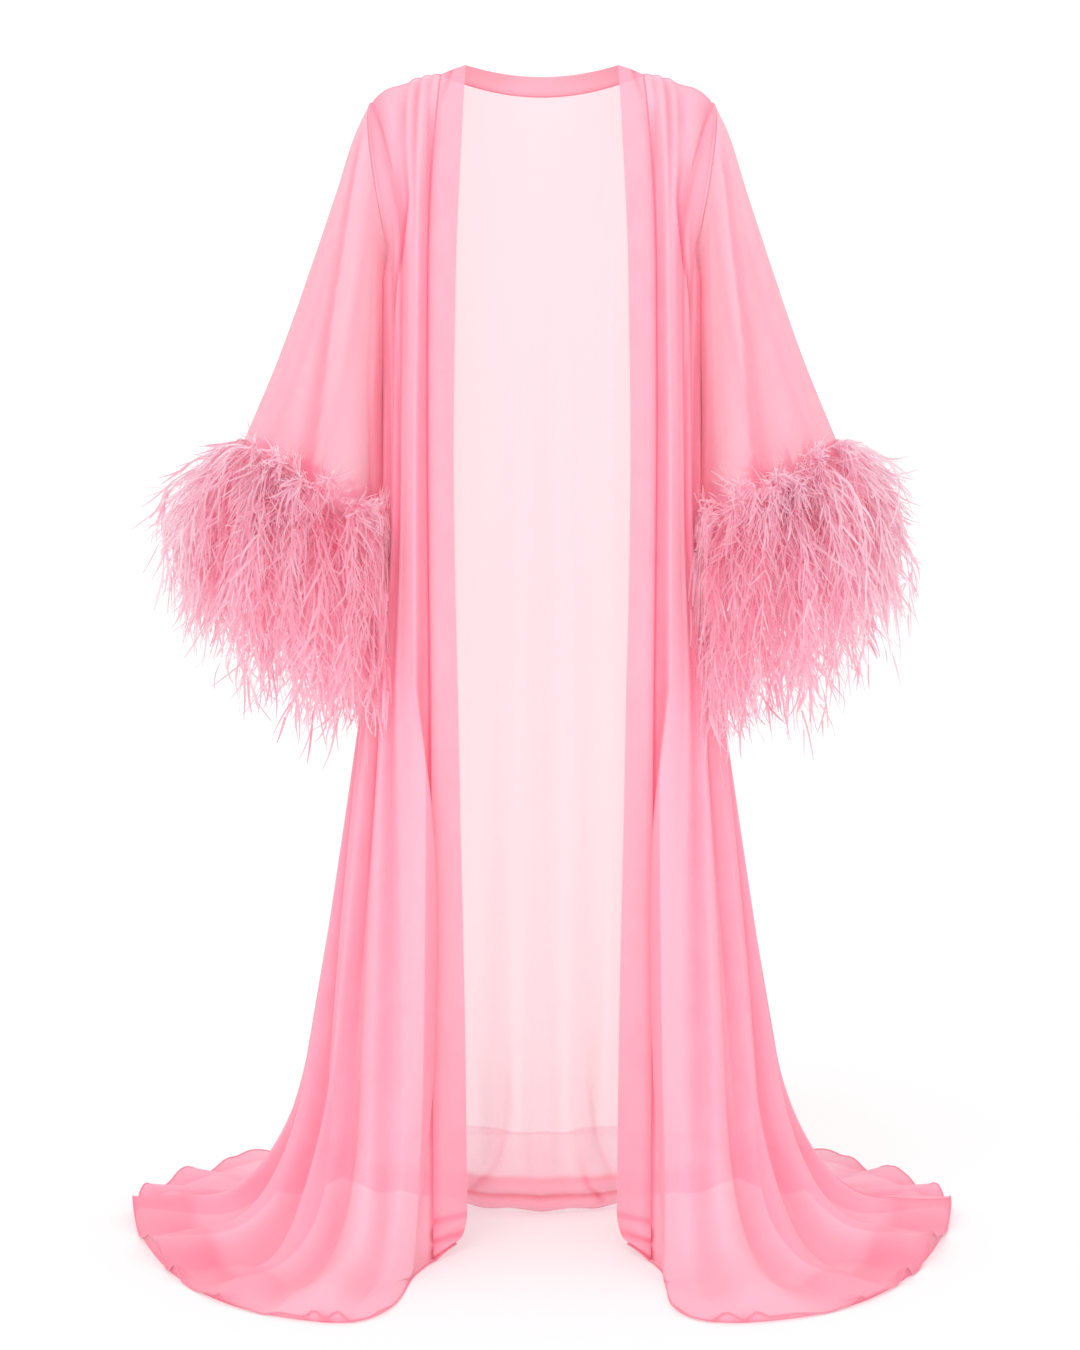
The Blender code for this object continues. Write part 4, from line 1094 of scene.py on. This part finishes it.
def feathers(side, sign, seed, part):
    """Ostrich plumes, each a fine quill with curved barbs on both sides, as one joined mesh."""
    chance = np.random.default_rng(seed)
    quill, kind, layer = quill_paths(chance, PLUMES // 2)
    count = len(quill)
    each_barb = (count, BARBS, 1)
    q = np.linspace(0, 1, QUILL_STEPS + 1)
    span = np.linalg.norm(quill[:, -1] - quill[:, 0], axis=1)[:, None, None]
    sway = QUILL_SWAY * chance.normal(0, 1, (count, 1, 3)) * np.sin(q * math.pi)[:, None]
    curl = QUILL_CURL * chance.normal(0, 1, (count, 1, 3)) * (q ** 2)[:, None]
    quill = quill + span * (sway + curl)
    heading = unit(np.gradient(quill, axis=1))

    place = (np.arange(BARBS)[None] + chance.random((count, BARBS))) / BARBS
    share = BARB_FROM + (1 - BARB_FROM) * place
    place = share * QUILL_STEPS
    i = place.astype(int).clip(0, QUILL_STEPS - 1)
    f = (place - i)[..., None]
    rows = np.arange(count)[:, None]
    base = quill[rows, i] * (1 - f) + quill[rows, i + 1] * f
    along = unit(heading[rows, i] * (1 - f) + heading[rows, i + 1] * f)
    out = base - np.array([*CUFF_CENTRE, 0.0])
    out[..., 2] = 0.0
    out = unit(out)
    way = np.where(np.arange(BARBS) % 2 == 0, 1.0, -1.0)[None, :, None]
    aside = way * unit(np.cross(along, out)) * (0.4 + 0.6 * chance.random(each_barb))
    lateral = unit(aside + out * (0.95 * chance.random(each_barb) - 0.20))
    spread = np.radians(BARB_SPREAD[0] + BARB_SPREAD[1] * chance.random(each_barb))
    spread = spread * (1 - 0.6 * (share[..., None] > 0.94))
    first = along * np.cos(spread) + lateral * np.sin(spread)
    last = 0.35 * first + 0.40 * along + 0.45 * DOWN * chance.random(each_barb)
    last = unit(last + BARB_NOISE * chance.normal(0, 1, (count, BARBS, 3)))
    size = BARB_LENGTH * (0.55 + 0.65 * chance.random((count, BARBS))) * (1.04 - 0.20 * share)
    size = (size * np.where(kind < 0.24, HIGH_BARB, 1.0)[:, None])[..., None, None]
    t = np.linspace(0, 1, BARB_STEPS + 1)
    bent = (last - first)[:, :, None] * BARB_BEND * t[:, None] ** 2
    barb = base[:, :, None] + size * (first[:, :, None] * t[:, None] + bent)
    barb = barb.reshape(-1, BARB_STEPS + 1, 3)

    many = len(barb)
    thick = BARB_RADIUS * (0.75 + 0.5 * chance.random(many))[:, None] * (1 - 0.70 * t ** 2.2)
    quill_thick = BARB_RADIUS * np.ones((count, 1)) * (1 - 0.65 * q ** 2)
    barb = clear_of_body(barb, BODY_SLACK * chance.random(many))
    quill = clear_of_body(quill, BODY_SLACK * chance.random(count))
    fine, fine_faces = ribbons(barb, thick, chance)
    stem, stem_faces = ribbons(quill, quill_thick, chance)
    verts = to_side(np.concatenate([fine, stem]), sign)
    faces = np.concatenate([fine_faces, stem_faces + len(fine)])

    # Painted shade: deeper pink for inner plumes and towards the roots of quills and barbs; painted
    # light: paler high plumes over the cuff's top; the rest differs at random
    plume_tone = PLUME_LAYER_SHADE * (1 - layer) + chance.normal(0, PLUME_SCATTER, count)
    plume_tone = (plume_tone - 0.20 * (kind < 0.3))[:, None]
    barb_tone = plume_tone + chance.normal(0, BARB_SCATTER, (count, BARBS)) + 0.12 * (1 - share)
    barb_tone = barb_tone.reshape(-1, 1) + 0.12 * (1 - t) - 0.10 * t
    stem_tone = plume_tone + 0.14 * (1 - q)
    tone = np.repeat(np.concatenate([barb_tone.reshape(-1), stem_tone.reshape(-1)]), 2)
    made = add_mesh(side + "_cuff_feathers_" + part, verts, faces, tone, 1.0, None, plume)
    return made


plume = plume_material("pink_ostrich")
for side, sign in sides.items():
    turns = np.linspace(0, 1, STRIP_COLUMNS + 1)[:-1][::-1]
    strip = np.array([to_side(sleeve_row(turns, a), sign) for a in np.linspace(STRIP_FROM, 1.0, 4)])
    strip = strip[:, ::sign]
    normals = grid_normals(strip, ring=True)
    strip = strip + normals * (WALL + STRIP_WALL / 2)
    tape = ring_wall(side + "_cuff_tape", strip, normals, STRIP_WALL, STRIP_TONE, plume)
    for part, seed in PLUME_SEEDS[side].items():
        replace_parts(feathers(side, sign, seed, part), side + "_feather_cuff")
    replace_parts(tape, side + "_feather_cuff")

# Floor, light and camera
FLOOR_HALF = 12.0
FLOOR_DROP = 0.0006
SKY_LIGHT = 0.92
SKY_SEEN = 1.06
# Suns: strength, then size, tilt and turn in degrees
SUNS = {"key": (0.70, 35, 48, -18), "fill": (0.55, 60, 78, 12)}
CAMERA_PLACE = (-0.0025, -4.0, -0.49)
CAMERA_DOWN = 3.6
CAMERA_LENS = 87.04

scene = bpy.context.scene
level = FLOOR_Z - FLOOR_DROP
corners = [(x * FLOOR_HALF, y * FLOOR_HALF, level) for x, y in ((-1, -1), (1, -1), (1, 1), (-1, 1))]
floor_mesh = bpy.data.meshes.new("floor")
floor_mesh.from_pydata(corners, [], [(0, 1, 2, 3)])
floor = bpy.data.objects.new("floor", floor_mesh)
scene.collection.objects.link(floor)
paint = bpy.data.materials.new("pale_floor")
paint.use_nodes = True
settings(paint.node_tree.nodes["Principled BSDF"], {
    "Base Color": (0.645, 0.642, 0.642, 1.0), "Roughness": 0.9, "Specular IOR Level": 0.1,
    "Emission Color": (1.0, 0.985, 0.985, 1.0), "Emission Strength": 0.345})
floor_mesh.materials.append(paint)

world = bpy.data.worlds.new("studio")
world.use_nodes = True
tree = world.node_tree
sky = tree.nodes["Background"]
settings(sky, {"Color": (1.0, 0.99, 0.99, 1.0)})
seen = add_node(tree, "LightPath").outputs["Is Camera Ray"]
bright = add_node(tree, "MapRange", {}, {"To Min": SKY_LIGHT, "To Max": SKY_SEEN}, {"Value": seen})
tree.links.new(bright.outputs["Result"], sky.inputs["Strength"])
scene.world = world

for name, (strength, wide, tilt, turn) in SUNS.items():
    sun = bpy.data.objects.new(name, bpy.data.lights.new(name, "SUN"))
    sun.data.energy = strength
    sun.data.angle = math.radians(wide)
    sun.rotation_euler = (math.radians(tilt), 0, math.radians(turn))
    scene.collection.objects.link(sun)

camera = bpy.data.objects.new("camera", bpy.data.cameras.new("camera"))
scene.collection.objects.link(camera)
camera.location = CAMERA_PLACE
camera.rotation_euler = (math.radians(90 - CAMERA_DOWN), 0, 0)
camera.data.lens = CAMERA_LENS
camera.data.sensor_width = 36.0
scene.camera = camera
scene.view_settings.view_transform = "Standard"
scene.cycles.transparent_max_bounces = 32
